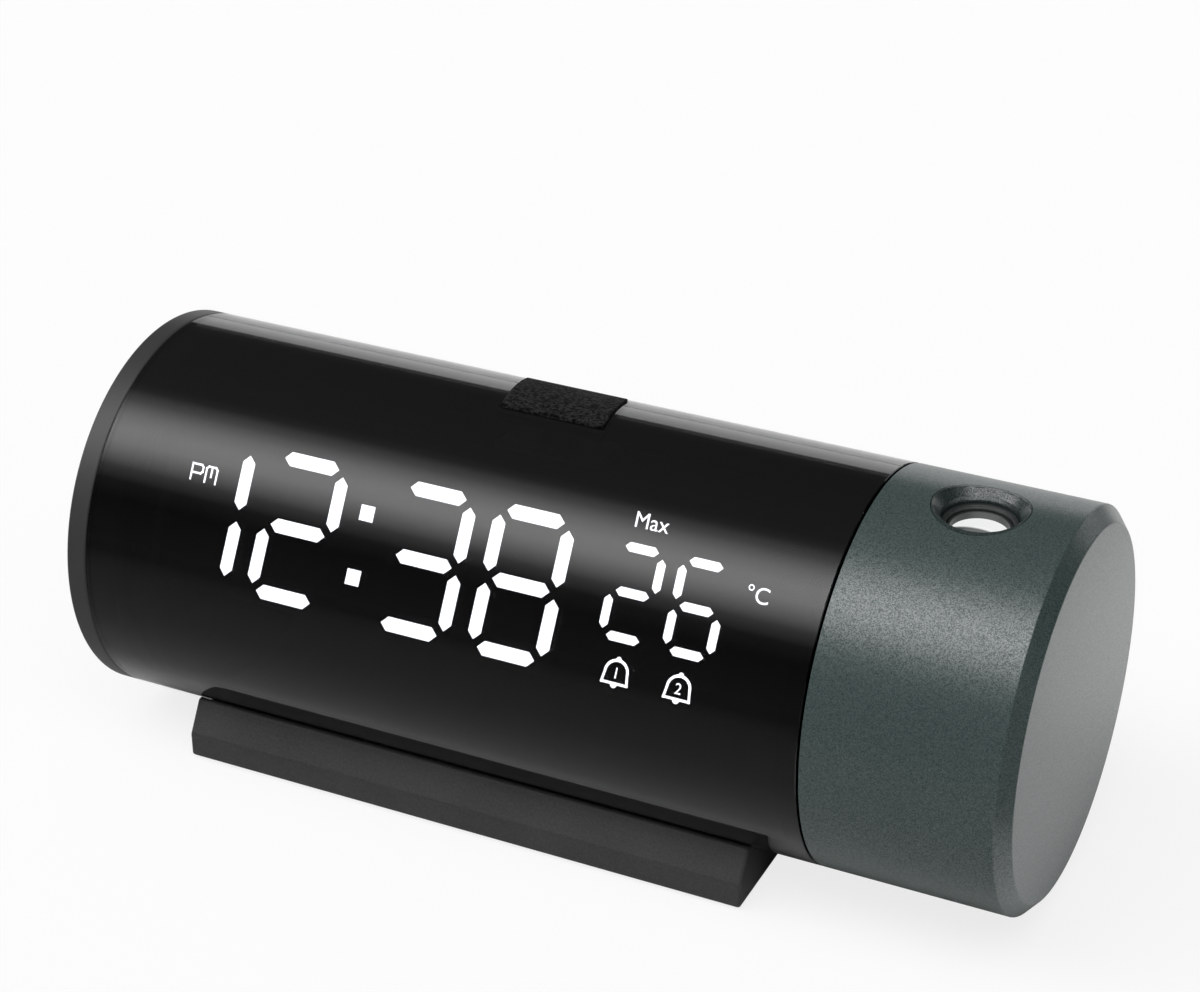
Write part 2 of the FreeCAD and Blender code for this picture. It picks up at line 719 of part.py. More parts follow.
def make_display():
    face = size_of("tube_radius") - size_of("display_setback")
    back = face - size_of("mask_depth")
    bar_back = face - size_of("bar_depth")
    mask_blank = block("mask_blank", "display_angle", INNER_MIDDLE, "(display_low + display_high) / 2",
                       DISPLAY_FACE + " - mask_depth", INNER_SPAN, "display_high - display_low", "mask_depth")
    depth = size_of("mask_depth")
    windows = display_bars(True, back - depth, face + depth) + display_bars(False, back - depth, face + depth)
    piece(cut("display_mask", mask_blank, display_feature("mask_windows", windows)), "display_mask")
    piece(display_feature("lit_segments", display_bars(True, bar_back, face)), "lit_segments")
    piece(display_feature("dark_segments", display_bars(False, bar_back, face)), "dark_segments")
    chips = []
    chip_size = size_of("display_chip_size")
    chip_height = size_of("display_chip_height")
    for window in display_bars(True, back, face) + display_bars(False, back, face):
        middle = window.BoundBox.Center
        corner = FreeCAD.Vector(middle.x - chip_size / 2, middle.y - chip_size / 2, back)
        chips.append(Part.makeBox(chip_size, chip_size, chip_height, corner))
    piece(display_feature("display_lights", chips), "display_lights")
    board = block("display_board", "display_angle", INNER_MIDDLE, "(display_low + display_high) / 2",
                  DISPLAY_FACE + " - mask_depth - board_wall", INNER_SPAN,
                  "display_high - display_low - display_board_inset", "board_wall")
    piece(board, "display_board")
    carrier_out = DISPLAY_FACE + " - mask_depth - board_wall - carrier_wall"
    carrier_blank = block("carrier_blank", "display_angle", INNER_MIDDLE, "(display_low + display_high) / 2",
                          carrier_out, INNER_SPAN, "display_high - display_low - carrier_inset",
                          "carrier_wall")
    window = block("carrier_window", "display_angle", INNER_MIDDLE, "(display_low + display_high) / 2",
                   carrier_out + " - carrier_wall", INNER_SPAN + " - 2 * carrier_rim",
                   "display_high - display_low - 2 * carrier_rim", "3 * carrier_wall")
    piece(cut("display_carrier", carrier_blank, window), "display_carrier")


# Snooze pad: a leaning lozenge that follows the tube, with a flange under the cover, and its switch
def make_snooze():
    along = from_left("snooze_place")
    flange_out = "(tube_radius - cover_wall - snooze_flange_depth)"
    cap = extruded("snooze_cap", lozenge("0"), "cover_wall + 3 * snooze_flange_depth",
                   facing("snooze_angle", along, "0", flange_out + " + flange_wall"))
    limit = cylinder("snooze_limit", "tube_radius + snooze_rise", COVER_LENGTH, along_tube(COVER_START))
    flange = extruded("snooze_flange", lozenge("flange_width"), "flange_wall",
                      facing("snooze_angle", along, "0", flange_out))
    piece(join("snooze_pad", [common("snooze_top", cap, limit), flange]), "snooze_pad")
    switch_top = flange_out + " - snooze_travel - rest_clearance"
    switch = block("snooze_switch", "snooze_angle", along, "0", switch_top + " - snooze_switch_height",
                   "switch_size", "switch_size", "snooze_switch_height")
    piece(switch, "snooze_switch")
    board_out = switch_top + " - snooze_switch_height - circuit_wall"
    board = block("snooze_board", "snooze_angle", along, "0", board_out, "snooze_length", "rail_width",
                  "circuit_wall")
    piece(board, "snooze_board")
    rail = block("top_rail", "snooze_angle", INNER_MIDDLE, "0", board_out + " - rail_wall", INNER_SPAN,
                 "rail_width", "rail_wall")
    piece(rail, "top_rail")


# Keys on the back: five flanged caps in a row over tact switches on their own narrow board
KEY_NAMES = ("mode_key", "minus_key", "plus_key", "alarm_key", "projector_key")


def make_keys():
    flange_top = "(tube_radius - housing_wall - key_flange_gap)"
    flange_out = "(tube_radius - housing_wall - key_flange_gap - flange_wall)"
    switch_out = flange_out + " - key_travel - rest_clearance - key_switch_height"
    switches = []
    for name, along in zip(KEY_NAMES, key_places()):
        cap = block(name + "_cap", "key_angle", along, "0", flange_top, "key_length", "key_width",
                    "housing_wall + key_flange_gap + key_rise")
        flange = block(name + "_flange", "key_angle", along, "0", flange_out,
                       "key_length + 2 * flange_width", "key_width + 2 * flange_width", "flange_wall")
        piece(join(name, [cap, flange]), name)
        switches.append(block(name + "_switch", "key_angle", along, "0", switch_out, "switch_size",
                              "switch_size", "key_switch_height"))
    piece(group("key_switches", switches), "key_switches")
    board = block("key_board", "key_angle", INNER_MIDDLE, "0", switch_out + " - circuit_wall", INNER_SPAN,
                  "key_board_width", "circuit_wall")
    piece(board, "key_board")


# Main board and the parts soldered to its back
def make_main_board():
    middle = "(main_board_low + %s) / 2" % MAIN_BOARD_HIGH
    board = block("main_board", "180", INNER_MIDDLE, middle, "main_board_place", INNER_SPAN,
                  MAIN_BOARD_HIGH + " - main_board_low", "board_wall")
    piece(board, "main_board")
    face = "main_board_place + board_wall"
    parts = [
        block("clock_chip", "180", "0", "clock_chip_height_up", face, "clock_chip_size", "clock_chip_size",
              "clock_chip_wall"),
        block("driver_chip", "180", "driver_chip_place", "driver_chip_height_up", face, "driver_chip_length",
              "driver_chip_width", "driver_chip_wall"),
        cylinder("crystal", "crystal_radius", "crystal_length",
                 facing("180", "crystal_place", "crystal_height_up", face)),
        cylinder("capacitor", "capacitor_radius", "capacitor_length",
                 facing("180", "capacitor_place", "capacitor_height_up", face)),
        block("lead_socket", "180", "socket_place", "0", face, "socket_length", "socket_width",
              "socket_width"),
    ]
    piece(group("board_parts", parts), "board_parts")


# Backup cell: holder, contact, coin cell and the door over them
def make_backup_cell():
    along = from_left("bay_place")
    holder_width = "bay_opening - 2 * fit_gap"
    contact_out = BAY_FLOOR + " + contact_floor"
    holder = block("holder_blank", "bay_angle", along, "0", BAY_FLOOR, holder_width, holder_width,
                   "holder_height")
    pocket = cylinder("cell_pocket", "cell_radius + fit_gap", "2 * cell_height",
                      facing("bay_angle", along, "0", contact_out))
    piece(cut("cell_holder", holder, pocket), "cell_holder")
    contact = cylinder("cell_contact", "contact_radius", "contact_wall",
                       facing("bay_angle", along, "0", contact_out))
    piece(contact, "cell_contact")
    cell_out = contact_out + " + contact_wall"
    cell = cylinder("backup_cell", "cell_radius", "cell_height",
                    facing("bay_angle", along, "0", cell_out))
    piece(cell, "backup_cell")
    door_width = "bay_opening - 2 * fit_gap"
    door_block = block("door_block", "bay_angle", along, "0", "tube_radius - 3 * housing_wall",
                       door_width, door_width, "5 * housing_wall")
    ring = arc_shell("door_ring", "tube_radius", "housing_wall", COVER_START, COVER_LENGTH,
                     "bay_angle - 40", "bay_angle + 40")
    piece(common("cell_door", ring, door_block), "cell_door")


# Power inlet: a metal shell with a contact tongue, on a small board beside the bearing bulkhead
def make_power_inlet():
    along = INLET_PLACE
    start = "(tube_radius - inlet_depth)"
    outer = block("inlet_outer", "bay_angle", along, "0", start, "inlet_width", "inlet_height",
                  "inlet_depth - inlet_recess")
    inner = block("inlet_inner", "bay_angle", along, "0", start + " + inlet_back_wall",
                  "inlet_width - 2 * inlet_wall", "inlet_height - 2 * inlet_wall", "inlet_depth")
    tongue = block("inlet_tongue", "bay_angle", along, "0", start + " + tongue_start", "tongue_width",
                   "tongue_wall", "tongue_length")
    piece(join("power_inlet", [cut("inlet_shell", outer, inner), tongue]), "power_inlet")
    board_start = "%s - inlet_width / 2 - inlet_board_side" % along
    board_length = "(%s - (%s))" % (INNER_RIGHT, board_start)
    board = block("inlet_board", "bay_angle", "(%s) + %s / 2" % (board_start, board_length),
                  "0 - (inlet_height + circuit_wall) / 2", start + " - inlet_board_side", board_length,
                  "circuit_wall", "inlet_board_depth")
    piece(board, "inlet_board")


# Projector head: a turned shell with a bevelled end, its collar on the hub, and the ring that keeps it
def head_post_places(start):
    places = []
    for turn in ("30", "150", "270"):
        places.append(along_tube(start, turn) + " * " + upright(HEAD_POST_CIRCLE, "0", "0"))
    return places


def make_head_shell():
    inner = "(tube_radius - head_wall)"
    blank = turned("head_blank", [
        (inner, "0"),
        ("tube_radius", "0"),
        ("tube_radius", "head_length - chamfer_length"),
        ("tube_radius - chamfer_depth", "head_length"),
        ("0", "head_length"),
        ("0", "head_length - head_end_wall"),
        (inner, "head_length - head_end_wall"),
    ], along_tube(HEAD_START))
    post_start = HEAD_START + " + collar_setback + collar_wall"
    posts = []
    bores = []
    for index, place in enumerate(head_post_places(post_start)):
        posts.append(cylinder("head_post_%d" % index, "head_post_radius",
                              "head_length - collar_setback - collar_wall - head_post_gap", place))
        bores.append(cylinder("post_bore_%d" % index, "head_screw_radius", "post_bore_depth", place))
    inside = cylinder("post_limit", "tube_radius - head_wall / 2", "head_length - head_post_gap",
                      along_tube(HEAD_START))
    trimmed_posts = common("posts_trimmed", group("posts", posts), inside)
    hole = cylinder("lens_hole", "bezel_radius + bezel_fit", "4 * head_wall",
                    facing("90", LENS_PLACE, "0", "tube_radius - 3 * head_wall"))
    whole = join("head_whole", [blank, trimmed_posts])
    piece(cut("head_shell", whole, group("head_cuts", bores + [hole])), "head_shell")


def make_head_collar():
    start = HEAD_START + " + collar_setback"
    disc = cylinder("collar_disc", "tube_radius - head_wall - collar_fit", "collar_wall", along_tube(start))
    bore = cylinder("collar_bore", "hub_radius + hub_running_gap", "3 * collar_wall",
                    along_tube(start + " - collar_wall"))
    cuts = [bore]
    screws = []
    for index, place in enumerate(head_post_places(start)):
        cuts.append(cylinder("collar_hole_%d" % index, "head_screw_radius", "collar_wall", place))
        cuts.append(cylinder("collar_recess_%d" % index, "2 * head_screw_radius", "collar_wall / 2", place))
        shank = cylinder("head_screw_shank_%d" % index, "head_screw_radius",
                         "collar_wall + head_screw_length", place)
        head = cylinder("head_screw_head_%d" % index, "2 * head_screw_radius", "collar_wall / 2", place)
        screws.append(join("head_screw_%d" % index, [shank, head]))
    piece(cut("head_collar", disc, join("collar_cuts", cuts)), "head_collar")
    piece(group("head_screws", screws), "head_screws")
    washer_wall = "(turning_gap + bearing_setback + collar_setback - 2 * washer_gap)"
    washer_inner = "(hub_radius + washer_clearance)"
    washer = turned("friction_washer", [
        (washer_inner, "0"),
        (washer_inner + " + washer_width", "0"),
        (washer_inner + " + washer_width", washer_wall),
        (washer_inner, washer_wall),
    ], along_tube(BEARING_END + " + washer_gap"))
    piece(washer, "friction_washer")
    ring = turned("retaining_ring", [
        ("hub_radius", "0"),
        ("hub_radius + retainer_width", "0"),
        ("hub_radius + retainer_width", "retainer_wall"),
        ("hub_radius", "retainer_wall"),
    ], along_tube(HEAD_START + " + collar_setback + collar_wall + washer_gap"))
    piece(ring, "retaining_ring")


# Lens bezel: a bevelled ring in the top of the head, flanged under its wall
def make_lens_bezel():
    blank = turned("bezel_blank", [
        ("bezel_bore", TUBE_TOP),
        ("bezel_flange", TUBE_TOP),
        ("bezel_flange", TUBE_TOP + " + bezel_flange_wall"),
        ("bezel_radius", TUBE_TOP + " + bezel_flange_wall"),
        ("bezel_radius", "tube_radius + bezel_rise"),
        ("bezel_bore", "tube_radius + bezel_rise - bezel_chamfer_depth"),
    ], facing("90", LENS_PLACE, "0", "0"))
    limit = cylinder("bezel_limit", "tube_radius", "head_length", along_tube(HEAD_START))
    piece(common("lens_bezel", blank, limit), "lens_bezel")


# Optics: frame tube, light board with heat sink, condenser, picture slide, focus ring, barrel and lens
def make_optics():
    frame_tube = turned("optics_tube", [
        ("barrel_radius + barrel_fit", "0 - tube_floor"),
        ("bezel_radius", "0 - tube_floor"),
        ("bezel_radius", TUBE_TOP),
        ("barrel_radius + barrel_fit", TUBE_TOP),
    ], facing("90", LENS_PLACE, "0", "0"))
    arm_start = "(bezel_radius + barrel_radius) / 2"
    arm_length = "(lens_from_end - head_end_wall - %s)" % arm_start
    arm = block("optics_arm", "90", "%s + %s + %s / 2" % (LENS_PLACE, arm_start, arm_length), "0",
                "0 - tube_floor", arm_length, "optics_arm_width", "2 * tube_floor")
    piece(join("optics_frame", [frame_tube, arm]), "optics_frame")
    board = cylinder("light_board", "bezel_radius", "circuit_wall",
                     facing("90", LENS_PLACE, "0", "0 - tube_floor - circuit_wall"))
    piece(board, "light_board")
    chip = block("light_chip", "90", LENS_PLACE, "0", "0 - tube_floor", "light_chip_size", "light_chip_size",
                 "light_chip_height")
    piece(chip, "light_chip")
    sink_out = "0 - tube_floor - circuit_wall - sink_height"
    sink = block("sink_blank", "90", LENS_PLACE, "0", sink_out, "sink_size", "sink_size", "sink_height")
    slots = []
    for index, step in enumerate((-1.5, -0.5, 0.5, 1.5)):
        slots.append(block("sink_slot_%d" % index, "90", LENS_PLACE, "%s * sink_slot_pitch" % step,
                           sink_out + " - sink_base", "2 * sink_size", "sink_slot_width", "sink_height"))
    piece(cut("heat_sink", sink, group("sink_slots", slots)), "heat_sink")
    lens_radius = "(barrel_radius - barrel_wall)"
    condenser = cylinder("condenser_lens", "barrel_radius", "condenser_height",
                         facing("90", LENS_PLACE, "0", "condenser_floor"))
    piece(condenser, "condenser_lens")
    slide = cylinder("picture_slide", "barrel_radius", "slide_wall",
                     facing("90", LENS_PLACE, "0", "slide_floor"))
    piece(slide, "picture_slide")
    ring_inner = "(barrel_radius + focus_ring_fit)"
    ring = turned("focus_ring", [
        (ring_inner, "0"),
        (ring_inner + " + focus_ring_wall", "0"),
        (ring_inner + " + focus_ring_wall", "focus_ring_height"),
        (ring_inner, "focus_ring_height"),
    ], facing("90", LENS_PLACE, "0", TUBE_TOP + " + focus_ring_gap"))
    piece(ring, "focus_ring")
    barrel_top = "(%s + barrel_rise)" % TUBE_TOP
    barrel = turned("lens_barrel", [
        (lens_radius, barrel_top + " - barrel_length"),
        ("barrel_radius", barrel_top + " - barrel_length"),
        ("barrel_radius", barrel_top),
        (lens_radius, barrel_top),
    ], facing("90", LENS_PLACE, "0", "0"))
    piece(barrel, "lens_barrel")
    disc = cylinder("lens_disc", lens_radius + " - lens_fit", "lens_height",
                    facing("90", LENS_PLACE, "0", barrel_top + " - lens_height - lens_recess"))
    ball = document.addObject("Part::Sphere", "lens_ball")
    ball.setExpression("Radius", bound("lens_curve"))
    ball_centre = barrel_top + " - lens_recess - lens_curve"
    ball.setExpression("Placement", bound(facing("90", LENS_PLACE, "0", ball_centre)))
    piece(common("projection_lens", disc, ball), "projection_lens")


# Foot: a low bar with sloping faces, cut to the tube, with pockets, screws and rubber pads below
def make_foot():
    bar_body = extruded("foot_bar", [
        ("0 - foot_half_width", "foot_base"),
        ("foot_half_width", "foot_base"),
        ("foot_half_width", "foot_edge_height"),
        ("foot_lip_half", "foot_lip_height"),
        ("0 - foot_lip_half", "foot_lip_height"),
        ("0 - foot_half_width", "foot_edge_height"),
    ], FOOT_LENGTH, upright("foot_start - overall_length / 2", "0", "0"), "YZ_Plane")
    document.recompute()
    pad = bar_body.Tip
    edges = ["Edge%d" % number for number in range(1, len(pad.Shape.Edges) + 1)]
    rounding = bar_body.newObject("PartDesign::Fillet", "foot_rounding")
    rounding.Base = (pad, edges)
    rounding.setExpression("Radius", bound("foot_round"))
    bar_body.Tip = rounding
    seat = cylinder("foot_seat", "tube_radius + foot_seat_gap", "2 * overall_length",
                    along_tube("0 - overall_length"))
    cuts = []
    for index, side in enumerate(("0 - pad_half_spacing", "pad_half_spacing")):
        pocket = document.addObject("Part::Box", "foot_pocket_%d" % index)
        pocket.setExpression("Length", bound(FOOT_LENGTH + " - 4 * pad_inset"))
        pocket.setExpression("Width", bound("2 * pad_radius"))
        pocket.setExpression("Height", bound("foot_pocket_depth"))
        place = upright("foot_start + 2 * pad_inset - overall_length / 2", side + " - pad_radius", "0")
        pocket.setExpression("Placement", bound(place))
        cuts.append(pocket)
    pads = []
    pad_places = []
    for end in ("foot_start + pad_inset", "foot_start + %s - pad_inset" % FOOT_LENGTH):
        for side in ("0 - pad_half_spacing", "pad_half_spacing"):
            pad_places.append((from_left("(%s)" % end), side))
    for index, (along, side) in enumerate(pad_places):
        cuts.append(cylinder("pad_seat_%d" % index, "pad_radius", "pad_depth", upright(along, side, "0")))
        pads.append(cylinder("foot_pad_%d" % index, "pad_radius", "pad_depth", upright(along, side, "0")))
    screws = []
    for index, (along, side) in enumerate(foot_screw_places()):
        cuts.append(cylinder("foot_hole_%d" % index, "foot_screw_radius", "foot_screw_length",
                             upright(along, side, "0")))
        cuts.append(cylinder("foot_recess_%d" % index, "screw_head_radius + fit_gap",
                             "foot_base + screw_head_depth",
                             upright(along, side, "0")))
        where = upright(along, side, "foot_base + screw_head_sink")
        where += " * " + placement(vector("0", "0", "0"), vector("1", "0", "0"), "180")
        screws.append(screw("foot_screw_%d" % index, "foot_screw_radius", "foot_screw_length",
                            "screw_head_radius", "screw_head_depth - screw_head_sink", where))
    seated = cut("foot_seated", bar_body, seat)
    piece(cut("foot", seated, join("foot_cuts", cuts)), "foot")
    piece(group("foot_pads", pads), "foot_pads")
    piece(group("foot_screws", screws), "foot_screws")


def check_model():
    """Stop if any object failed or any piece is not a valid solid."""
    faults = []
    for part in document.Objects:
        if "Invalid" in part.State or "Error" in part.State:
            faults.append("%s is %s" % (part.Name, part.State))
    for part in PIECES:
        shape = part.Shape
        if shape.isNull() or not shape.isValid() or not shape.Solids:
            faults.append("%s has no valid solid" % part.Label)
    if faults:
        raise RuntimeError("; ".join(faults))


def write_pieces():
    os.makedirs("parts", exist_ok=True)
    for part in PIECES:
        part.Shape.exportStep(os.path.join("parts", part.Label + ".step"))
        print(part.Label, len(part.Shape.Solids), round(part.Shape.Volume, 1))


make_display_cover()
make_rear_housing()
make_left_end_cap()
make_speaker()
make_bulkheads()
make_housing_screws()
make_display()
make_snooze()
make_keys()
make_main_board()
make_backup_cell()
make_power_inlet()
make_head_shell()
make_head_collar()
make_lens_bezel()
make_optics()
make_foot()
document.recompute()
check_model()
write_pieces()
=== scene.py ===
import math

import bmesh
import bpy
from mathutils import Matrix, Vector


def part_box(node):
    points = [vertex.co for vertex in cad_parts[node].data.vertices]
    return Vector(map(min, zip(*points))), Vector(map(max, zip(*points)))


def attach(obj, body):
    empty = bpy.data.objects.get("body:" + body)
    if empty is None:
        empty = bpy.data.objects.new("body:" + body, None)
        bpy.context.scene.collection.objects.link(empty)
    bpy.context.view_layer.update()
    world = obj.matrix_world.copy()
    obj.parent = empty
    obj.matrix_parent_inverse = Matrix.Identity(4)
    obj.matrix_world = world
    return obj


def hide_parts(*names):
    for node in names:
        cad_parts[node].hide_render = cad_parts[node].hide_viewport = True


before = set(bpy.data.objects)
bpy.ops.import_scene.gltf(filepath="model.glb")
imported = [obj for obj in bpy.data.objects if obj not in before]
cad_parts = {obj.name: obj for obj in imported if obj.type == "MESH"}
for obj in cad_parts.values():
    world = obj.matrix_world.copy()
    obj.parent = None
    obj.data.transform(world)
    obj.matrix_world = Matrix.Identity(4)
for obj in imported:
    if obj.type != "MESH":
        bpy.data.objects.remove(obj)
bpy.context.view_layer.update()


# Left end cap: a matte black moulded disc with a rim that frames the glossy tube. It plugs into the
# housing on a spigot, and its face has rings of round holes for the loudspeaker behind it.
MM = 0.001
cap_low, cap_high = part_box("left_end_cap")
tube_radius = cap_high.y
axis_height = cap_high.z - tube_radius
left_face = cap_low.x
cover_start, cover_end = (corner.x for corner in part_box("display_cover"))
cap_rim = cover_start - left_face
cap_plate = 2.4 * MM
cap_spigot_length = 5.0 * MM
cap_spigot_radius = tube_radius - 2.35 * MM
cap_spigot_bore = cap_spigot_radius - 2.0 * MM
cap_edge = 0.5 * MM
grille_rings = 3
grille_sizes = {"Ring pitch": 4.0 * MM, "Hole radius": 0.9 * MM, "Depth": 3 * cap_plate, "Face": left_face,
                "Axis height": axis_height}
round_steps = 256
on_axis = 1e-9
same_place = 1e-7


def in_scene(name, data):
    """A new object in the scene, made of a mesh, letters or a camera."""
    made = bpy.data.objects.new(name, data)
    bpy.context.scene.collection.objects.link(made)
    return made


def raw_piece(name, vertices, faces):
    """A piece with just these corners and faces."""
    mesh = bpy.data.meshes.new(name)
    mesh.from_pydata([tuple(vertex) for vertex in vertices], [], faces)
    return in_scene(name, mesh)


def mesh_piece(name, vertices, faces):
    """A piece from its corners and faces, doubles merged and normals pointing outwards."""
    made = raw_piece(name, vertices, faces)
    shape = bmesh.new()
    shape.from_mesh(made.data)
    bmesh.ops.remove_doubles(shape, verts=shape.verts, dist=same_place)
    bmesh.ops.recalc_face_normals(shape, faces=shape.faces)
    shape.to_mesh(made.data)
    shape.free()
    return made


def lying(start):
    """Place of a turned piece whose own Z runs along the tube, from a place on the X axis."""
    turn = Matrix(((0, 0, 1), (1, 0, 0), (0, 1, 0))).to_4x4()
    return Matrix.Translation((start, 0, axis_height)) @ turn


def facing(elevation, along):
    """Place whose own Z points out of the tube, so far above the front, and own X runs along it."""
    angle = math.radians(90 - elevation)
    return Matrix.Translation((along, 0, axis_height)) @ Matrix.Rotation(angle, 4, "X")


def softened(profile, radius, steps=3, most=0.4):
    """A closed half section, its corners off the axis rounded over at most a share of their edges."""
    points = []
    count = len(profile)
    for index in range(count):
        corner = Vector(profile[index])
        if corner.x < on_axis:
            points.append(tuple(corner))
            continue
        before = Vector(profile[index - 1]) - corner
        after = Vector(profile[(index + 1) % count]) - corner
        reach = min(radius, most * before.length, most * after.length)
        start = corner + before.normalized() * reach
        end = corner + after.normalized() * reach
        for step in range(steps + 1):
            share = step / steps
            point = start * (1 - share) ** 2 + corner * 2 * share * (1 - share) + end * share ** 2
            points.append(tuple(point))
    return points


def turned_piece(name, profile, place, steps=round_steps):
    """A solid of revolution about the place's Z, from a closed half section of (radius, height)."""
    vertices = []
    rings = []
    for radius, height in profile:
        if radius < on_axis:
            rings.append([len(vertices)] * steps)
            vertices.append(place @ Vector((0, 0, height)))
            continue
        rings.append(list(range(len(vertices), len(vertices) + steps)))
        for step in range(steps):
            angle = 2 * math.pi * step / steps
            vertices.append(place @ Vector((radius * math.cos(angle), radius * math.sin(angle), height)))
    faces = []
    for index, ring in enumerate(rings):
        following = rings[(index + 1) % len(rings)]
        for step in range(steps):
            beside = (step + 1) % steps
            corners = [ring[step], ring[beside], following[beside], following[step]]
            face = list(dict.fromkeys(corners))
            if len(face) >= 3:
                faces.append(face)
    return mesh_piece(name, vertices, faces)


def plain_mesh(made):
    """What the object shows, as a mesh of its own."""
    bpy.context.view_layer.update()
    graph = bpy.context.evaluated_depsgraph_get()
    return bpy.data.meshes.new_from_object(made.evaluated_get(graph), depsgraph=graph)


def baked(made):
    """The piece with its modifiers worked into one plain mesh."""
    finished = plain_mesh(made)
    made.modifiers.clear()
    made.data = finished


def smoothed(made, sharp_angle=32):
    """Round faces shade smoothly and flat faces stay flat."""
    for face in made.data.polygons:
        face.use_smooth = True
    made.data.set_sharp_from_angle(angle=math.radians(sharp_angle))
    weighting = made.modifiers.new("even_shading", "WEIGHTED_NORMAL")
    weighting.keep_sharp = True
    baked(made)


def cut_away(made, cutter):
    """The piece with the cutter's space taken out of it."""
    cutting = made.modifiers.new("cut", "BOOLEAN")
    cutting.operation = "DIFFERENCE"
    cutting.solver = "EXACT"
    cutting.object = cutter
    baked(made)
    bpy.data.objects.remove(cutter)


def feed(tree, node, inputs):
    """Each input of a node gets its plain value, or is linked to another node's output."""
    for socket, source in inputs.items():
        if isinstance(source, bpy.types.NodeSocket):
            tree.links.new(source, node.inputs[socket])
        else:
            node.inputs[socket].default_value = source


def wired(tree, kind, inputs, **settings):
    """A new node with its settings and what feeds its inputs."""
    made = tree.nodes.new(kind)
    for setting, choice in settings.items():
        setattr(made, setting, choice)
    feed(tree, made, inputs)
    return made


def maths(tree, operation, first, second):
    """The result of a Math node on two numbers."""
    return wired(tree, "ShaderNodeMath", {0: first, 1: second}, operation=operation).outputs[0]


def ranged(tree, value, start=0.0, end=1.0, low=0.0, high=1.0, **settings):
    """A number that goes from low to high while the value goes from start to end."""
    limits = {"Value": value, "From Min": start, "From Max": end, "To Min": low, "To Max": high}
    return wired(tree, "ShaderNodeMapRange", limits, **settings).outputs["Result"]


def number_blend(tree, factor, first, second):
    """A number between two."""
    return wired(tree, "ShaderNodeMix", {"Factor": factor, "A": first, "B": second}).outputs["Result"]


def colour_blend(tree, factor, dark, light):
    """A colour between two. A Mix node's colours go in at sockets 6 and 7, and come out at 2."""
    colours = {"Factor": factor, 6: (*dark, 1), 7: (*light, 1)}
    return wired(tree, "ShaderNodeMix", colours, data_type="RGBA").outputs[2]


def object_place(tree):
    """The piece's own coordinates."""
    return wired(tree, "ShaderNodeTexCoord", {}).outputs["Object"]


def object_noise(tree, **inputs):
    """A soft noise on the piece's own coordinates."""
    return wired(tree, "ShaderNodeTexNoise", {"Vector": object_place(tree), **inputs}).outputs["Fac"]


def grain_group():
    """Fine moulded grain: an uneven height, and a tone that follows it and a broader cloud."""
    group = bpy.data.node_groups.new("moulded_grain", "ShaderNodeTree")
    for name, way in (("Scale", "INPUT"), ("Unevenness", "INPUT"), ("Height", "OUTPUT"), ("Tone", "OUTPUT")):
        group.interface.new_socket(name=name, in_out=way, socket_type="NodeSocketFloat")
    entry = wired(group, "NodeGroupInput", {}).outputs
    grain = object_noise(group, Scale=entry["Scale"], Detail=3.0)
    cloud = object_noise(group, Scale=60.0, Detail=2.0)
    tone = number_blend(group, entry["Unevenness"], grain, cloud)
    wired(group, "NodeGroupOutput", {"Height": grain, "Tone": tone})
    return group


moulded_grain = grain_group()


def new_material(name):
    """An empty material, its node tree and its surface shader."""
    material = bpy.data.materials.new(name)
    material.use_nodes = True
    tree = material.node_tree
    return material, tree, tree.nodes["Principled BSDF"]


def grained(name, rough, grain_scale, grain_depth, metallic=0.0, unevenness=0.3, specular=0.5):
    """A material whose roughness and bump follow the grain, with its tree, surface and grain's tone."""
    material, tree, surface = new_material(name)
    grain = wired(tree, "ShaderNodeGroup", {"Scale": grain_scale, "Unevenness": unevenness},
                  node_tree=moulded_grain).outputs
    bump = wired(tree, "ShaderNodeBump", {"Height": grain["Height"], "Strength": 1.0,
                                          "Distance": grain_depth})
    feed(tree, surface, {
        "Metallic": metallic,
        "Specular IOR Level": specular,
        "Roughness": ranged(tree, grain["Tone"], low=rough[0], high=rough[1]),
        "Normal": bump.outputs["Normal"],
    })
    return material, tree, surface, grain["Tone"]


def finish(name, dark, light, rough, grain_scale, grain_depth, contrast=0.35, **looks):
    """A grained material whose colour goes from dark to light with the grain's tone."""
    material, tree, surface, tone = grained(name, rough, grain_scale, grain_depth, **looks)
    spread = ranged(tree, tone, 0.5 - contrast / 2, 0.5 + contrast / 2)
    feed(tree, surface, {"Base Color": colour_blend(tree, spread, dark, light)})
    return material


def dressed(made, material, body, slot, *nodes):
    """The finished piece gets its material, its body and the CAD nodes that it stands for."""
    made.data.materials.clear()
    made.data.materials.append(material)
    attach(made, body)
    if nodes:
        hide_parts(*nodes)


def sized_tree(name, sizes):
    """A geometry tree with a named input for each size, and the outputs of its entry."""
    tree = bpy.data.node_groups.new(name, "GeometryNodeTree")
    tree.interface.new_socket(name="Geometry", in_out="INPUT", socket_type="NodeSocketGeometry")
    for label in sizes:
        tree.interface.new_socket(name=label, in_out="INPUT", socket_type="NodeSocketFloat")
    tree.interface.new_socket(name="Geometry", in_out="OUTPUT", socket_type="NodeSocketGeometry")
    return tree, wired(tree, "NodeGroupInput", {}).outputs


def carved(tree, shape, tool):
    """The shape with the tool's space taken out of it, in a tree."""
    cutting = wired(tree, "GeometryNodeMeshBoolean", {0: shape, 1: tool}, operation="DIFFERENCE",
                    solver="EXACT")
    return cutting.outputs["Mesh"]


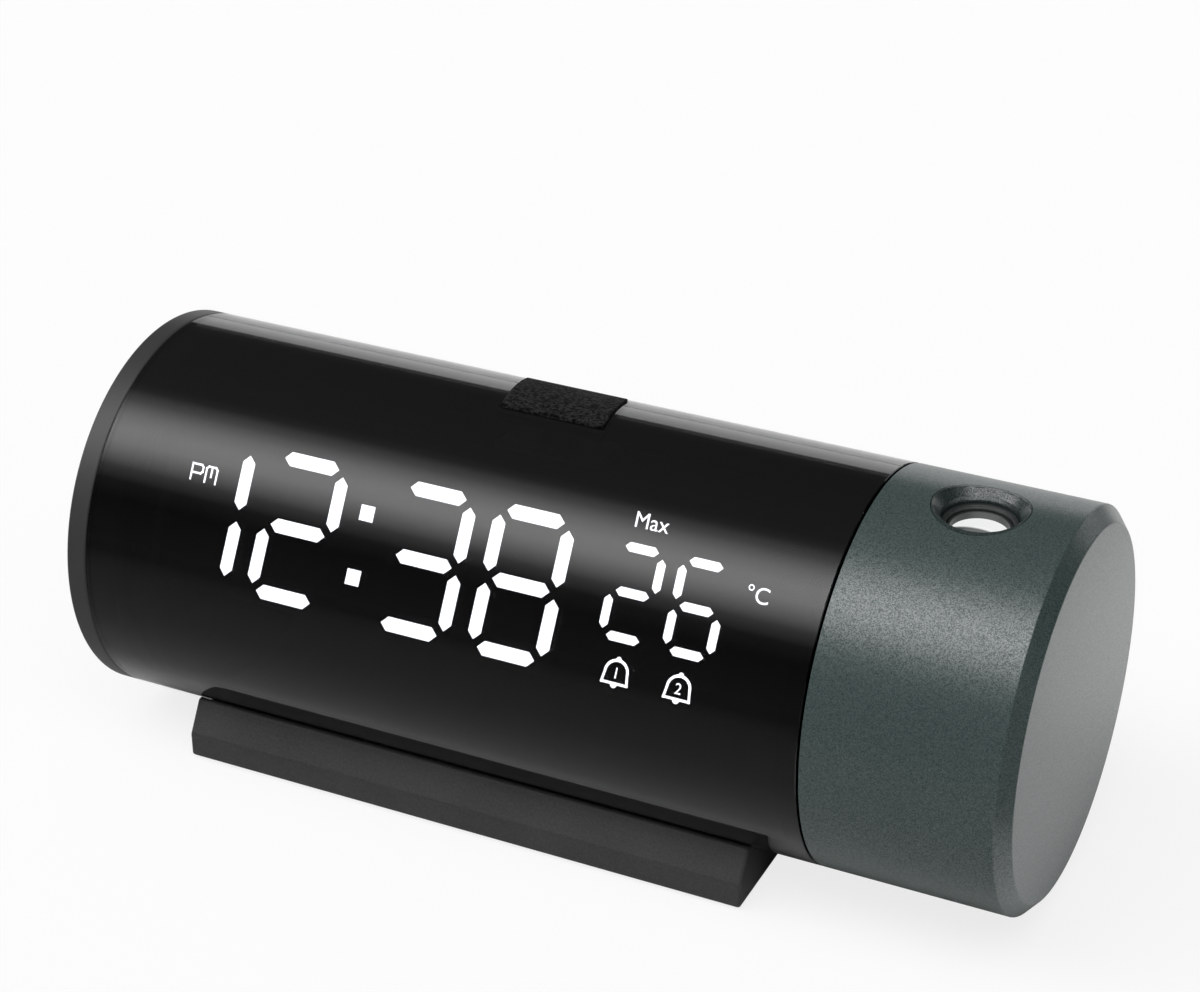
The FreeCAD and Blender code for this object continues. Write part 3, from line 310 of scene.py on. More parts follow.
def spread_on(tree, points, instance, **inputs):
    """A real copy of the shape on every point."""
    copies = {"Points": points, "Instance": instance, **inputs}
    spread = wired(tree, "GeometryNodeInstanceOnPoints", copies)
    return wired(tree, "GeometryNodeRealizeInstances", {0: spread.outputs[0]}).outputs[0]


def painted_end(tree, shape, material):
    """The tree ends with the shape in its material."""
    paint = wired(tree, "GeometryNodeSetMaterial", {"Geometry": shape, "Material": material})
    wired(tree, "NodeGroupOutput", {"Geometry": paint.outputs[0]})
    return tree


def worked(made, tree, sizes):
    """The piece as the tree makes it with these sizes, in one plain mesh."""
    work = made.modifiers.new(tree.name, "NODES")
    work.node_group = tree
    for socket in tree.interface.items_tree:
        if socket.name in sizes:
            work[socket.identifier] = sizes[socket.name]
    baked(made)


def grille_tree(material):
    """Cuts a middle hole and rings of holes, six more in each ring, through the plate it is given."""
    tree, entry = sized_tree("speaker_grille", grille_sizes)
    centre = wired(tree, "GeometryNodePoints", {})
    places = wired(tree, "GeometryNodeJoinGeometry", {0: centre.outputs[0]})
    for ring in range(1, grille_rings + 1):
        radius = maths(tree, "MULTIPLY", entry["Ring pitch"], ring)
        circle = wired(tree, "GeometryNodeMeshCircle", {"Vertices": 6 * ring, "Radius": radius})
        points = wired(tree, "GeometryNodeMeshToPoints", {"Mesh": circle.outputs["Mesh"]})
        feed(tree, places, {0: points.outputs[0]})
    hole = wired(tree, "GeometryNodeMeshCylinder", {"Vertices": 24, "Radius": entry["Hole radius"],
                                                    "Depth": entry["Depth"]})
    holes = spread_on(tree, places.outputs[0], hole.outputs["Mesh"])
    where = wired(tree, "ShaderNodeCombineXYZ", {"X": entry["Face"], "Z": entry["Axis height"]})
    stand = wired(tree, "GeometryNodeTransform", {"Geometry": holes, "Translation": where.outputs[0],
                                                  "Rotation": (0, math.radians(90), 0)})
    return painted_end(tree, carved(tree, entry["Geometry"], stand.outputs[0]), material)


end_cap_black = finish("end_cap_black", (0.03, 0.03, 0.031), (0.044, 0.044, 0.046), (0.38, 0.5), 5200, 8e-6)
end_cap = turned_piece("left_end_cap_skin", softened([
    (0, 0),
    (tube_radius, 0),
    (tube_radius, cap_rim),
    (cap_spigot_radius, cap_rim),
    (cap_spigot_radius, cap_rim + cap_spigot_length),
    (cap_spigot_bore, cap_rim + cap_spigot_length),
    (cap_spigot_bore, cap_plate),
    (0, cap_plate),
], cap_edge, 4), lying(left_face))
worked(end_cap, grille_tree(end_cap_black), grille_sizes)
smoothed(end_cap)
dressed(end_cap, end_cap_black, "clock_body", "housing_black", "left_end_cap")


# Loudspeaker: a pulp cone glued into a pressed steel basket, with a ferrite magnet on its back. Only
# the cone is seen, through the grille.
steel = finish("pressed_steel", (0.42, 0.42, 0.43), (0.55, 0.55, 0.56), (0.3, 0.45), 3000, 3e-6,
               metallic=1.0)
cone_pulp = finish("cone_pulp", (0.015, 0.015, 0.016), (0.03, 0.03, 0.03), (0.7, 0.9), 2500, 3e-5)
ferrite = finish("ferrite", (0.05, 0.05, 0.052), (0.09, 0.09, 0.09), (0.6, 0.8), 1800, 1e-5)


def painted(material, *names):
    """A CAD node that shows as it is gets the material of the real piece."""
    for name in names:
        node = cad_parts[name]
        node.data.materials.clear()
        node.data.materials.append(material)


painted(cone_pulp, "speaker_cone")
painted(steel, "speaker_basket")
painted(ferrite, "speaker_magnet")


# Bulkheads and frames: matte black mouldings inside the tube. Two discs close the housing's ends and
# carry the boards' frames, and the right one has the hub that the projector head turns on.
frame_black = finish("frame_black", (0.007, 0.007, 0.007), (0.012, 0.012, 0.012), (0.55, 0.7), 2500, 8e-6,
                     specular=0.2)
painted(frame_black, "left_bulkhead", "bearing_bulkhead", "display_carrier", "top_rail", "cell_holder",
        "optics_frame", "head_collar")


# Rear housing: the matte black half of the tube, moulded with holes for the keys, the backup cell's
# bay, the power inlet and the screws that hold it to the bulkheads.
housing_wall = 2.2 * MM
housing_low = 128.3
housing_high = 301.7
key_angle = 152.0
bay_angle = 205.0
bay_opening = 24.0 * MM
key_length = 9.0 * MM
key_height = 5.0 * MM
key_middle = -14.4 * MM
key_places = [key_middle + step * 14.0 * MM for step in range(-2, 3)]
inlet_length = 9.0 * MM
inlet_height = 3.2 * MM
slip = 0.15 * MM
screw_places = [(along, elevation) for along in (-70.7 * MM, 48.1 * MM) for elevation in (168.0, 236.0)]
recess_floor = tube_radius - 1.4 * MM
recess_radius = 2.15 * MM


def arc_shell(name, outer, wall, start, end, low, high, edge=0.0):
    """A wall of the tube between two elevations, its outer corners at both ends chamfered by edge."""
    steps = int(round(high - low))
    stations = [start, start + edge, end - edge, end] if edge else [start, end]
    vertices = []
    for step in range(steps + 1):
        angle = math.radians(low + (high - low) * step / steps)
        out = Vector((0, -math.cos(angle), math.sin(angle)))
        for index, along in enumerate(stations):
            drop = edge if edge and index in (0, len(stations) - 1) else 0.0
            vertices.append(Vector((along, 0, axis_height)) + out * (outer - drop))
        for along in (end, start):
            vertices.append(Vector((along, 0, axis_height)) + out * (outer - wall))
    loop = len(stations) + 2
    faces = []
    for step in range(steps):
        for index in range(loop):
            near = step * loop + index
            beside = step * loop + (index + 1) % loop
            faces.append([near, beside, beside + loop, near + loop])
    faces.append(list(range(loop)))
    faces.append([steps * loop + index for index in range(loop)])
    return mesh_piece(name, vertices, faces)


def local_block(place, middle, half):
    """Corners and faces of a block in a place's own axes, from its middle and half its sizes."""
    corners = []
    for way in [(x, y, z) for x in (-1, 1) for y in (-1, 1) for z in (-1, 1)]:
        corners.append(place @ Vector([at + reach * side for at, reach, side in zip(middle, half, way)]))
    faces = [(0, 1, 3, 2), (4, 6, 7, 5), (0, 4, 5, 1), (2, 3, 7, 6), (0, 2, 6, 4), (1, 5, 7, 3)]
    return corners, faces


def joined(parts):
    """The corners and faces of several parts in one pair of lists."""
    vertices = []
    faces = []
    for corners, sides in parts:
        first = len(vertices)
        vertices.extend(corners)
        faces.extend([[first + corner for corner in side] for side in sides])
    return vertices, faces


def wall_opening(elevation, along, length, height):
    """A block that goes through the tube's wall."""
    half = (length / 2, height / 2, 3 * housing_wall)
    return local_block(facing(elevation, along), (0, 0, tube_radius), half)


def disc_profile(radius, low, high):
    """The half section of a plain disc, or of what cuts a round hole."""
    return [(0, low), (radius, low), (radius, high), (0, high)]


def node_middle(name):
    """The middle of a CAD node along the tube."""
    low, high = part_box(name)
    return (low.x + high.x) / 2


housing_black = finish("housing_black", (0.028, 0.028, 0.03), (0.042, 0.042, 0.044), (0.5, 0.65), 4200,
                       1.2e-5)
housing = arc_shell("rear_housing_skin", tube_radius, housing_wall, cover_start, cover_end, housing_low,
                    housing_high)
bay_middle = node_middle("cell_door")
openings = [wall_opening(key_angle, along, key_length + 2 * slip, key_height + 2 * slip)
            for along in key_places]
openings.append(wall_opening(bay_angle, bay_middle, bay_opening, bay_opening))
openings.append(wall_opening(bay_angle, node_middle("power_inlet"), inlet_length + 2 * slip,
                             inlet_height + 2 * slip))
cut_away(housing, mesh_piece("housing_openings", *joined(openings)))
for along, elevation in screw_places:
    recess = disc_profile(recess_radius, recess_floor, tube_radius + MM)
    cut_away(housing, turned_piece("screw_recess", recess, facing(elevation, along), 48))
smoothed(housing)
dressed(housing, housing_black, "clock_body", "housing_black", "rear_housing")


# Housing screws and foot screws: small blackened steel pan heads with a slot, sunk in round recesses.
# One tree places and turns a head at each point that it is given.
screw_black = finish("screw_black", (0.06, 0.06, 0.065), (0.12, 0.12, 0.125), (0.35, 0.5), 3500, 4e-6,
                     metallic=0.8)
screw_sizes = {"Head radius": 2.0 * MM, "Head height": 1.2 * MM, "Edge": 0.3 * MM, "Slot width": 0.5 * MM}


def screw_tree(material):
    """A slotted head on every point, its top turned to the point's outward direction."""
    tree, entry = sized_tree("slotted_heads", screw_sizes)
    head = wired(tree, "GeometryNodeMeshCone", {
        "Vertices": 40,
        "Radius Top": maths(tree, "SUBTRACT", entry["Head radius"], entry["Edge"]),
        "Radius Bottom": entry["Head radius"],
        "Depth": entry["Head height"],
    })
    slot_length = maths(tree, "MULTIPLY", entry["Head radius"], 3.0)
    slot_size = wired(tree, "ShaderNodeCombineXYZ", {"X": slot_length, "Y": entry["Slot width"],
                                                     "Z": entry["Head height"]})
    slot = wired(tree, "GeometryNodeMeshCube", {"Size": slot_size.outputs[0]})
    lift = wired(tree, "ShaderNodeCombineXYZ", {"Z": entry["Head height"]})
    raised = wired(tree, "GeometryNodeTransform", {"Geometry": slot.outputs["Mesh"],
                                                   "Translation": lift.outputs[0]})
    slotted = carved(tree, head.outputs["Mesh"], raised.outputs[0])
    outward = wired(tree, "GeometryNodeInputNamedAttribute", {"Name": "outward"}, data_type="FLOAT_VECTOR")
    turn = wired(tree, "FunctionNodeAlignRotationToVector", {"Vector": outward.outputs["Attribute"]},
                 axis="Z")
    points = wired(tree, "GeometryNodeMeshToPoints", {"Mesh": entry["Geometry"]})
    heads = spread_on(tree, points.outputs[0], slotted, Rotation=turn.outputs["Rotation"])
    return painted_end(tree, heads, material)


slotted_heads = screw_tree(screw_black)


def screw_set(name, node, seats):
    """Slotted heads seated at (place, outward direction) pairs, which stand for a CAD node."""
    made = raw_piece(name, [place for place, outward in seats], [])
    directions = made.data.attributes.new("outward", "FLOAT_VECTOR", "POINT")
    for index, (place, outward) in enumerate(seats):
        directions.data[index].vector = outward
    worked(made, slotted_heads, screw_sizes)
    smoothed(made)
    dressed(made, screw_black, "clock_body", "steel", node)


housing_seats = []
for along, elevation in screw_places:
    seat = facing(elevation, along)
    housing_seats.append((seat @ Vector((0, 0, recess_floor)), seat.to_3x3() @ Vector((0, 0, 1))))
screw_set("housing_screw_heads", "housing_screws", housing_seats)


# Cell door: a square of the housing's own wall that snaps into the bay over the backup cell. A
# thumbnail notch in its upper edge lifts it.
door_low, door_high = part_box("cell_door")
door_half = (door_high.x - door_low.x) / 2
door_reach = 20.4
notch_half = (3 * MM, 1.1 * MM, 0.9 * MM)
door = arc_shell("cell_door_skin", tube_radius, housing_wall, door_low.x, door_high.x,
                 bay_angle - door_reach, bay_angle + door_reach)
cut_away(door, mesh_piece("door_notch", *local_block(
    facing(bay_angle, bay_middle), (0, -door_half, tube_radius - 0.2 * MM), notch_half)))
smoothed(door)
dressed(door, housing_black, "clock_body", "housing_black", "cell_door")


# Power inlet, backup cell and contact: a drawn metal shell with a contact tongue, and a coin cell in
# its holder behind the door. The head's screws and its retaining ring are of the same bright steel.
painted(steel, "power_inlet", "cell_contact", "backup_cell", "head_screws", "retaining_ring")


# Display: a black mask with a window for each bar, light bars of white plastic that fill them, and
# lamps on a board behind. Small lamps light the words and the two bells the same way.
display_angle = 31.0
mask_face = 27.6 * MM
sign_rise = 0.03
rise_step = 0.001
capital_share = 0.7
mask_black = finish("mask_black", (0.004, 0.004, 0.004), (0.006, 0.006, 0.006), (0.6, 0.75), 3000, 4e-6)
bar_dark = finish("bar_dark", (0.006, 0.006, 0.006), (0.009, 0.009, 0.009), (0.5, 0.6), 2000, 2e-6)
painted(mask_black, "display_mask")
painted(bar_dark, "dark_segments")


def lit_plastic(name, strength):
    """White light-bar plastic, a little uneven where the lamps sit behind it."""
    material = finish(name, (0.8, 0.82, 0.85), (0.9, 0.91, 0.93), (0.4, 0.5), 900, 2e-6)
    tree = material.node_tree
    tone = tree.nodes["Group"].outputs["Tone"]
    feed(tree, tree.nodes["Principled BSDF"], {
        "Emission Color": colour_blend(tree, tone, (0.93, 0.96, 1.0), (1.0, 1.0, 1.0)),
        "Emission Strength": strength,
    })
    return material


bar_light = lit_plastic("bar_light", 15.0)
painted(bar_light, "lit_segments")


def on_display(across, up, rise=sign_rise):
    """A place by the mask's face: millimetres along the clock from its left end, up the slope and off it."""
    return facing(display_angle, 0) @ Vector((left_face + across * MM, up * MM, mask_face + rise * MM))


def stroke(points, width, closed=False):
    """Corners and faces of a line of even width on the display, with square joints."""
    vertices = []
    faces = []
    count = len(points)
    for index in range(count if closed else count - 1):
        start = Vector(points[index])
        end = Vector(points[(index + 1) % count])
        run = (end - start).normalized() * width / 2
        side = Vector((-run.y, run.x))
        first = len(vertices)
        vertices.extend([start - run + side, start - run - side, end + run - side, end + run + side])
        faces.append([first, first + 1, first + 2, first + 3])
    return vertices, faces


def ring_points(centre, radius, low, high, steps):
    """Points on an arc between two angles, in degrees."""
    points = []
    for step in range(steps + 1):
        angle = math.radians(low + (high - low) * step / steps)
        points.append((centre[0] + radius * math.cos(angle), centre[1] + radius * math.sin(angle)))
    return points


def filled(outline):
    """Corners and the one face of a flat shape."""
    return outline, [list(range(len(outline)))]


def sign_piece(name, shapes):
    """Flat lit shapes on the mask, from the display's millimetres, each a hair above the last."""
    raised = []
    for index, (corners, faces) in enumerate(shapes):
        rise = sign_rise + rise_step * index
        raised.append(([on_display(corner[0], corner[1], rise) for corner in corners], faces))
    dressed(raw_piece(name, *joined(raised)), bar_light, "clock_body", "segment_lit")


def word_piece(name, text, across, up, height):
    """Lit characters on the mask, centred at a place, with a given height of capitals."""
    curve = bpy.data.curves.new(name, "FONT")
    curve.body = text
    curve.size = height / capital_share * MM
    curve.align_x = "CENTER"
    curve.align_y = "CENTER"
    letters = in_scene(name + "_letters", curve)
    mesh = plain_mesh(letters)
    bpy.data.objects.remove(letters)
    slope = facing(display_angle, 0)
    mesh.transform(Matrix.Translation(on_display(across, up) - slope.translation) @ slope)
    dressed(in_scene(name, mesh), bar_light, "clock_body", "segment_lit")


letter_line = 0.34
letter_height = 2.65
letter_width = 2.1
letter_corner = 0.35
p_left = 18.7
p_right = p_left + letter_width
m_left = 21.5
m_right = m_left + letter_width
m_middle = m_left + letter_width / 2
word_low = 4.6
word_high = word_low + letter_height
p_waist = word_low + 0.45 * letter_height
sign_piece("afternoon_sign", [
    stroke([(p_left, word_low), (p_left, word_high), (p_right - letter_corner, word_high),
            (p_right, word_high - letter_corner), (p_right, p_waist + letter_corner),
            (p_right - letter_corner, p_waist), (p_left, p_waist)], letter_line),
    stroke([(m_left, word_low), (m_left, word_high - letter_corner), (m_left + letter_corner, word_high),
            (m_right - letter_corner, word_high), (m_right, word_high - letter_corner),
            (m_right, word_low)], letter_line),
    stroke([(m_middle, word_high), (m_middle, word_low + 1.0)], letter_line),
])


def digit_signs(names, middle, centre, height, width, thick, gap):
    """The lit bars of one digit, each a long hexagon with pointed ends."""
    places = {"a": (0, 1), "g": (0, 0), "d": (0, -1), "b": (1, 1), "c": (1, -1), "f": (-1, 1), "e": (-1, -1)}
    shapes = []
    for name in names:
        side, level = places[name]
        flat = side == 0
        half = ((width if flat else height / 2) - 2 * gap * math.sqrt(2)) / 2
        shoulder = half - thick / 2
        across = middle + side * width / 2
        up = centre + level * height / (2 if flat else 4)
        corners = []
        for along, beside in ((-half, 0), (-shoulder, -1), (shoulder, -1), (half, 0), (shoulder, 1),
                              (-shoulder, 1)):
            off = beside * thick / 2
            corners.append((across + along, up + off) if flat else (across - off, up + along))
        shapes.append(filled(corners))
    return shapes


time_digit = {"centre": 0.4, "height": 22.4, "width": 12.4, "thick": 2.35, "gap": 0.7}
heat_digit = {"centre": 3.25, "height": 14.3, "width": 7.55, "thick": 1.5, "gap": 0.6}
lit_bars = []
for names, middle in (("bc", 23.0), ("abged", 40.9), ("abgcd", 64.9), ("abcdefg", 82.8)):
    lit_bars += digit_signs(names, middle, **time_digit)
for names, middle in (("abged", 102.08), ("acdefg", 113.28)):
    lit_bars += digit_signs(names, middle, **heat_digit)
sign_piece("lit_bar_faces", lit_bars)
colon_across = 52.9
colon_half = 1.3
colon_squares = []
for up in (5.8, -4.9):
    colon_squares.append(filled([(colon_across + x * colon_half, up + y * colon_half)
                                 for x, y in ((-1, -1), (1, -1), (1, 1), (-1, 1))]))
sign_piece("colon_sign", colon_squares)
word_piece("highest_sign", "Max", across=102.7, up=14.7, height=2.5)
word_piece("degree_sign", "°C", across=122.8, up=7.5, height=2.6)

bell_radius = 1.95
bell_line = 0.42
bell_flare = 0.25
bell_gap = 0.15
bell_crown = -9.4
bell_base = bell_crown - 1.7
for number, middle in (("1", 102.3), ("2", 113.2)):
    outline = ring_points((middle, bell_crown), bell_radius, 0, 180, 20)
    outline.append((middle - bell_radius - bell_flare, bell_base))
    outline.append((middle + bell_radius + bell_flare, bell_base))
    knob = ring_points((middle, bell_crown + bell_radius + bell_gap), 0.45, 0, 180, 8)
    clapper = ring_points((middle, bell_base - bell_gap), 0.6, 180, 360, 8)
    sign_piece("bell_" + number, [stroke(outline, bell_line, closed=True), filled(knob), filled(clapper)])
    word_piece("bell_number_" + number, number, across=middle, up=bell_crown - bell_gap, height=1.75)


# Boards, chips and lamps: green boards on their frames, soldered with black chips and switches and
# with white lamp packages. The head's friction washer is black like the switches.
board_green = finish("board_green", (0.012, 0.07, 0.03), (0.02, 0.1, 0.045), (0.35, 0.5), 1500, 4e-6)
chip_black = finish("chip_black", (0.02, 0.02, 0.02), (0.035, 0.035, 0.035), (0.5, 0.65), 3000, 6e-6)
lamp_white = finish("lamp_white", (0.7, 0.7, 0.6), (0.85, 0.83, 0.7), (0.3, 0.4), 2000, 2e-6)
painted(board_green, "display_board", "snooze_board", "key_board", "main_board", "inlet_board",
        "light_board")
painted(chip_black, "board_parts", "snooze_switch", "key_switches", "friction_washer")
painted(lamp_white, "display_lights", "light_chip")


# Display cover: the smoked, hard-coated clear wall in front and on top. It looks black until the bars
# behind it light up, and it snaps to the housing along its two long edges.
cover_wall = 1.8 * MM
cover_low = -58.0
cover_high = 128.0
cover_edge = 0.12 * MM
snooze_angle = 99.4
snooze_place = -8.5 * MM
snooze_half = (9.5 * MM, 7.4 * MM)
snooze_lean = 1.2 * MM


def leaning_prism(name, grow, low, high):
    """A block with leaning ends, grown all round, that stands out of the tube where the snooze pad is."""
    place = facing(snooze_angle, snooze_place)
    length = snooze_half[0] + grow
    width = snooze_half[1] + grow
    corners = [(-length + snooze_lean, -width), (length + snooze_lean, -width),
               (length - snooze_lean, width), (-length - snooze_lean, width)]
    vertices = [place @ Vector((x, y, z)) for z in (low, high) for x, y in corners]
    faces = [(0, 1, 2, 3), (4, 5, 6, 7), (0, 1, 5, 4), (1, 2, 6, 5), (2, 3, 7, 6), (3, 0, 4, 7)]
    return mesh_piece(name, vertices, faces)


def clear_finish(name, dark, light, rough, metallic, transmission, refraction, cloud_scale):
    """Polished glass or clear plastic, faintly uneven in its tint and its gloss."""
    material, tree, surface = new_material(name)
    cloud = object_noise(tree, Scale=cloud_scale)
    feed(tree, surface, {
        "Metallic": metallic,
        "Transmission Weight": transmission,
        "IOR": refraction,
        "Base Color": colour_blend(tree, cloud, dark, light),
        "Roughness": ranged(tree, cloud, low=rough[0], high=rough[1]),
    })
    return material


cover_gloss = clear_finish("cover_gloss", (0.1, 0.102, 0.105), (0.112, 0.114, 0.117), (0.004, 0.012),
                           metallic=0.0, transmission=1.0, refraction=1.5, cloud_scale=25.0)
cover = arc_shell("display_cover_skin", tube_radius, cover_wall, cover_start, cover_end, cover_low,
                  cover_high, cover_edge)
cut_away(cover, leaning_prism("snooze_slot", slip, tube_radius - 3 * cover_wall,
                              tube_radius + 2 * cover_wall))
smoothed(cover)
dressed(cover, cover_gloss, "clock_body", "cover_gloss", "display_cover")


def slot_walls_painted_shade():
    """The walls of the pad's slot are painted black as painted shade, so that the gap round the pad reads
    dark and no light leaks through their edges.
    """
    cover.data.materials.append(mask_black)
    slot_place = facing(snooze_angle, snooze_place).inverted()
    for face in cover.data.polygons:
        middle = slot_place @ face.center
        upright = abs((slot_place.to_3x3() @ face.normal).z) < 0.5
        near_ends = abs(middle.x) < snooze_half[0] + snooze_lean + 2 * slip
        near_sides = abs(middle.y) < snooze_half[1] + 2 * slip
        if upright and near_ends and near_sides:
            face.material_index = 1


# The slot's walls get painted shade in the mask's black.
slot_walls_painted_shade()


# Snooze pad: a coarse-grained rubber key in a slot on top, flush with the tube but for half a
# millimetre. Its flange sits under the cover, over a switch.
pad_radius = tube_radius + 0.5 * MM
pad_rows = 14
pad_columns = 18
pad_base = tube_radius - 3.8 * MM


def snooze_mesh():
    """The pad's top follows the tube; its four sides drop straight to the flange."""
    place = facing(snooze_angle, snooze_place)
    top = []
    for row in range(pad_rows + 1):
        across = snooze_half[1] * (2 * row / pad_rows - 1)
        shift = -snooze_lean * across / snooze_half[1]
        height = math.sqrt(pad_radius ** 2 - across ** 2)
        for column in range(pad_columns + 1):
            along = snooze_half[0] * (2 * column / pad_columns - 1) + shift
            top.append(Vector((along, across, height)))
    width = pad_columns + 1
    faces = []
    for row in range(pad_rows):
        for column in range(pad_columns):
            first = row * width + column
            faces.append([first, first + 1, first + 1 + width, first + width])
    rim = list(range(pad_columns))
    rim += [row * width + pad_columns for row in range(pad_rows)]
    rim += [pad_rows * width + column for column in range(pad_columns, 0, -1)]
    rim += [row * width for row in range(pad_rows, 0, -1)]
    lower = list(range(len(top), len(top) + len(rim)))
    bottom = [Vector((top[corner].x, top[corner].y, pad_base)) for corner in rim]
    for index, corner in enumerate(rim):
        beside = (index + 1) % len(rim)
        faces.append([corner, rim[beside], lower[beside], lower[index]])
    faces.append(lower)
    return mesh_piece("snooze_pad_skin", [place @ corner for corner in top + bottom], faces)


def rounded(made, width, segments, sharper_than=30):
    """The piece with its edges rounded where they turn by more than an angle."""
    rounding = made.modifiers.new("edge", "BEVEL")
    rounding.width = width
    rounding.segments = segments
    rounding.limit_method = "ANGLE"
    rounding.angle_limit = math.radians(sharper_than)
    baked(made)


snooze_rubber = finish("snooze_rubber", (0.001, 0.001, 0.001), (0.03, 0.03, 0.031), (0.75, 0.95), 1700,
                       1.5e-4, unevenness=0.0, contrast=0.2, specular=0.1)
pad = snooze_mesh()
rounded(pad, 0.15 * MM, 3, sharper_than=50)
smoothed(pad, 40)
dressed(pad, snooze_rubber, "snooze_pad", "snooze_rubber", "snooze_pad")


# Keys on the back: five caps with rounded edges, in black plastic like the housing's. Each is free to
# move in its own hole over a switch.
key_black = finish("key_black", (0.035, 0.035, 0.037), (0.05, 0.05, 0.052), (0.4, 0.5), 5000, 5e-6)
key_top = tube_radius + 0.6 * MM
key_bottom = tube_radius - 2.5 * MM
key_names = ("mode_key", "minus_key", "plus_key", "alarm_key", "projector_key")
for along, key_name in zip(key_places, key_names):
    middle = (0, 0, (key_top + key_bottom) / 2)
    half = (key_length / 2, key_height / 2, (key_top - key_bottom) / 2)
    key = mesh_piece(key_name + "_cap", *local_block(facing(key_angle, along), middle, half))
    rounded(key, 0.6 * MM, 4)
    smoothed(key, 50)
    dressed(key, key_black, key_name, "key_black", key_name)


# Projector head: a turned shell in fine metallic grey-green paint, bevelled at its end. It turns on
# the hub of the bearing bulkhead and carries everything that projects.
head_low, head_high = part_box("head_shell")
head_length = head_high.x - head_low.x
head_wall = 2.0 * MM
head_end_wall = 2.2 * MM
head_edge = 0.22 * MM
bevel_length = 2.2 * MM
bevel_depth = 2.6 * MM
lens_place = head_high.x - 18.1 * MM
bezel_radius = 7.9 * MM


def flake_paint(name, dark, light, rough):
    """Pearl paint: a green pigment under a hard clear gloss, with small flakes that catch the light."""
    material, tree, surface, tone = grained(name, rough, 5200, 4e-7, unevenness=0.1)
    flakes = wired(tree, "ShaderNodeTexVoronoi", {"Vector": object_place(tree), "Scale": 7000.0})
    flake = wired(tree, "ShaderNodeSeparateXYZ", {"Vector": flakes.outputs["Color"]}).outputs["X"]
    feed(tree, surface, {
        "IOR": 1.9,
        "Base Color": colour_blend(tree, flake, dark, light),
        "Specular IOR Level": ranged(tree, flake, low=0.12, high=0.6),
    })
    return material


head_green = flake_paint("head_green", (0.03, 0.05, 0.047), (0.062, 0.09, 0.086), (0.26, 0.32))
head = turned_piece("head_shell_skin", softened([
    (tube_radius - head_wall, 0),
    (tube_radius, 0),
    (tube_radius, head_length - bevel_length),
    (tube_radius - bevel_depth, head_length),
    (0, head_length),
    (0, head_length - head_end_wall),
    (tube_radius - head_wall, head_length - head_end_wall),
], head_edge), lying(head_low.x))
lens_hole = disc_profile(bezel_radius + 0.1 * MM, 0.6 * tube_radius, 1.2 * tube_radius)
cut_away(head, turned_piece("lens_hole", lens_hole, facing(90, lens_place), 128))
smoothed(head)
dressed(head, head_green, "projector_head", "head_green", "head_shell")


# Lens bezel: a bevelled ring in the head's paint that fits its round hole from inside, flanged under
# the wall and trimmed to the tube. Its cone leads down to the lens, and its paint is a darker copy of
# the head's, as painted shade in that recess.
bezel_bore = 6.3 * MM
bezel_top = tube_radius + 0.2 * MM
bezel_cone = 1.9 * MM
bezel_floor = tube_radius - 5.4 * MM
bezel_flange = 9.2 * MM
bezel_flange_top = bezel_floor + 1.8 * MM
bezel_sink = 0.02 * MM
# The head's paint made darker: painted shade for the bezel's cone.
bezel_green = flake_paint("bezel_green", (0.012, 0.022, 0.021), (0.034, 0.048, 0.046), (0.27, 0.34))
bezel_steps = 10
cone = []
for step in range(bezel_steps + 1):
    share = step / bezel_steps
    cone.append((bezel_radius + (bezel_bore - bezel_radius) * share, bezel_top - bezel_cone * share))
bezel = turned_piece("lens_bezel_skin", cone + [
    (bezel_bore, bezel_floor),
    (bezel_flange, bezel_floor),
    (bezel_flange, bezel_flange_top),
    (bezel_radius, bezel_flange_top),
], facing(90, lens_place), 192)
for corner in bezel.data.vertices:
    roof = axis_height + math.sqrt(tube_radius ** 2 - corner.co.y ** 2) - bezel_sink
    corner.co.z = min(corner.co.z, roof)
smoothed(bezel, 25)
dressed(bezel, bezel_green, "projector_head", "bezel_green", "lens_bezel")


# Focus ring and lens barrel: a black ring in the bezel that a fingertip turns, and inside it the thin
# barrel that it raises and lowers.
ring_black = finish("ring_black", (0.02, 0.022, 0.022), (0.034, 0.036, 0.036), (0.35, 0.5), 4500, 5e-6)


def sleeve(node, wall, edge, steps):
    """A turned ring with rounded corners, where the CAD node of the same name as its body stands."""
    low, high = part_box(node)
    outer = (high.x - low.x) / 2
    bottom = low.z - axis_height
    top = high.z - axis_height
    profile = [(outer - wall, bottom), (outer, bottom), (outer, top), (outer - wall, top)]
    made = turned_piece(node + "_skin", softened(profile, edge, steps), facing(90, lens_place), 160)
    smoothed(made)
    dressed(made, ring_black, node, "mask_black", node)


sleeve("focus_ring", 0.85 * MM, 0.25 * MM, 4)
sleeve("lens_barrel", 0.45 * MM, 0.12 * MM, 3)


# Projection lens: a small domed lens with a bright vapour coating, pressed into the barrel's top. The
# condenser and the picture slide of clear glass sit below it, and an aluminium sink cools their lamp.
lens_low, lens_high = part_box("projection_lens")
lens_radius = (lens_high.x - lens_low.x) / 2
lens_curve = 13.0 * MM
lens_bottom = lens_low.z - axis_height
lens_crown = lens_high.z - axis_height
lens_steps = 12
lens_glass = clear_finish("lens_glass", (0.86, 0.92, 0.91), (0.98, 1, 1), (0.02, 0.06),
                          metallic=0.9, transmission=0.0, refraction=1.52, cloud_scale=300.0)
slide_glass = clear_finish("slide_glass", (0.9, 0.92, 0.92), (0.98, 1, 1), (0.02, 0.06),
                           metallic=0.0, transmission=1.0, refraction=1.52, cloud_scale=300.0)


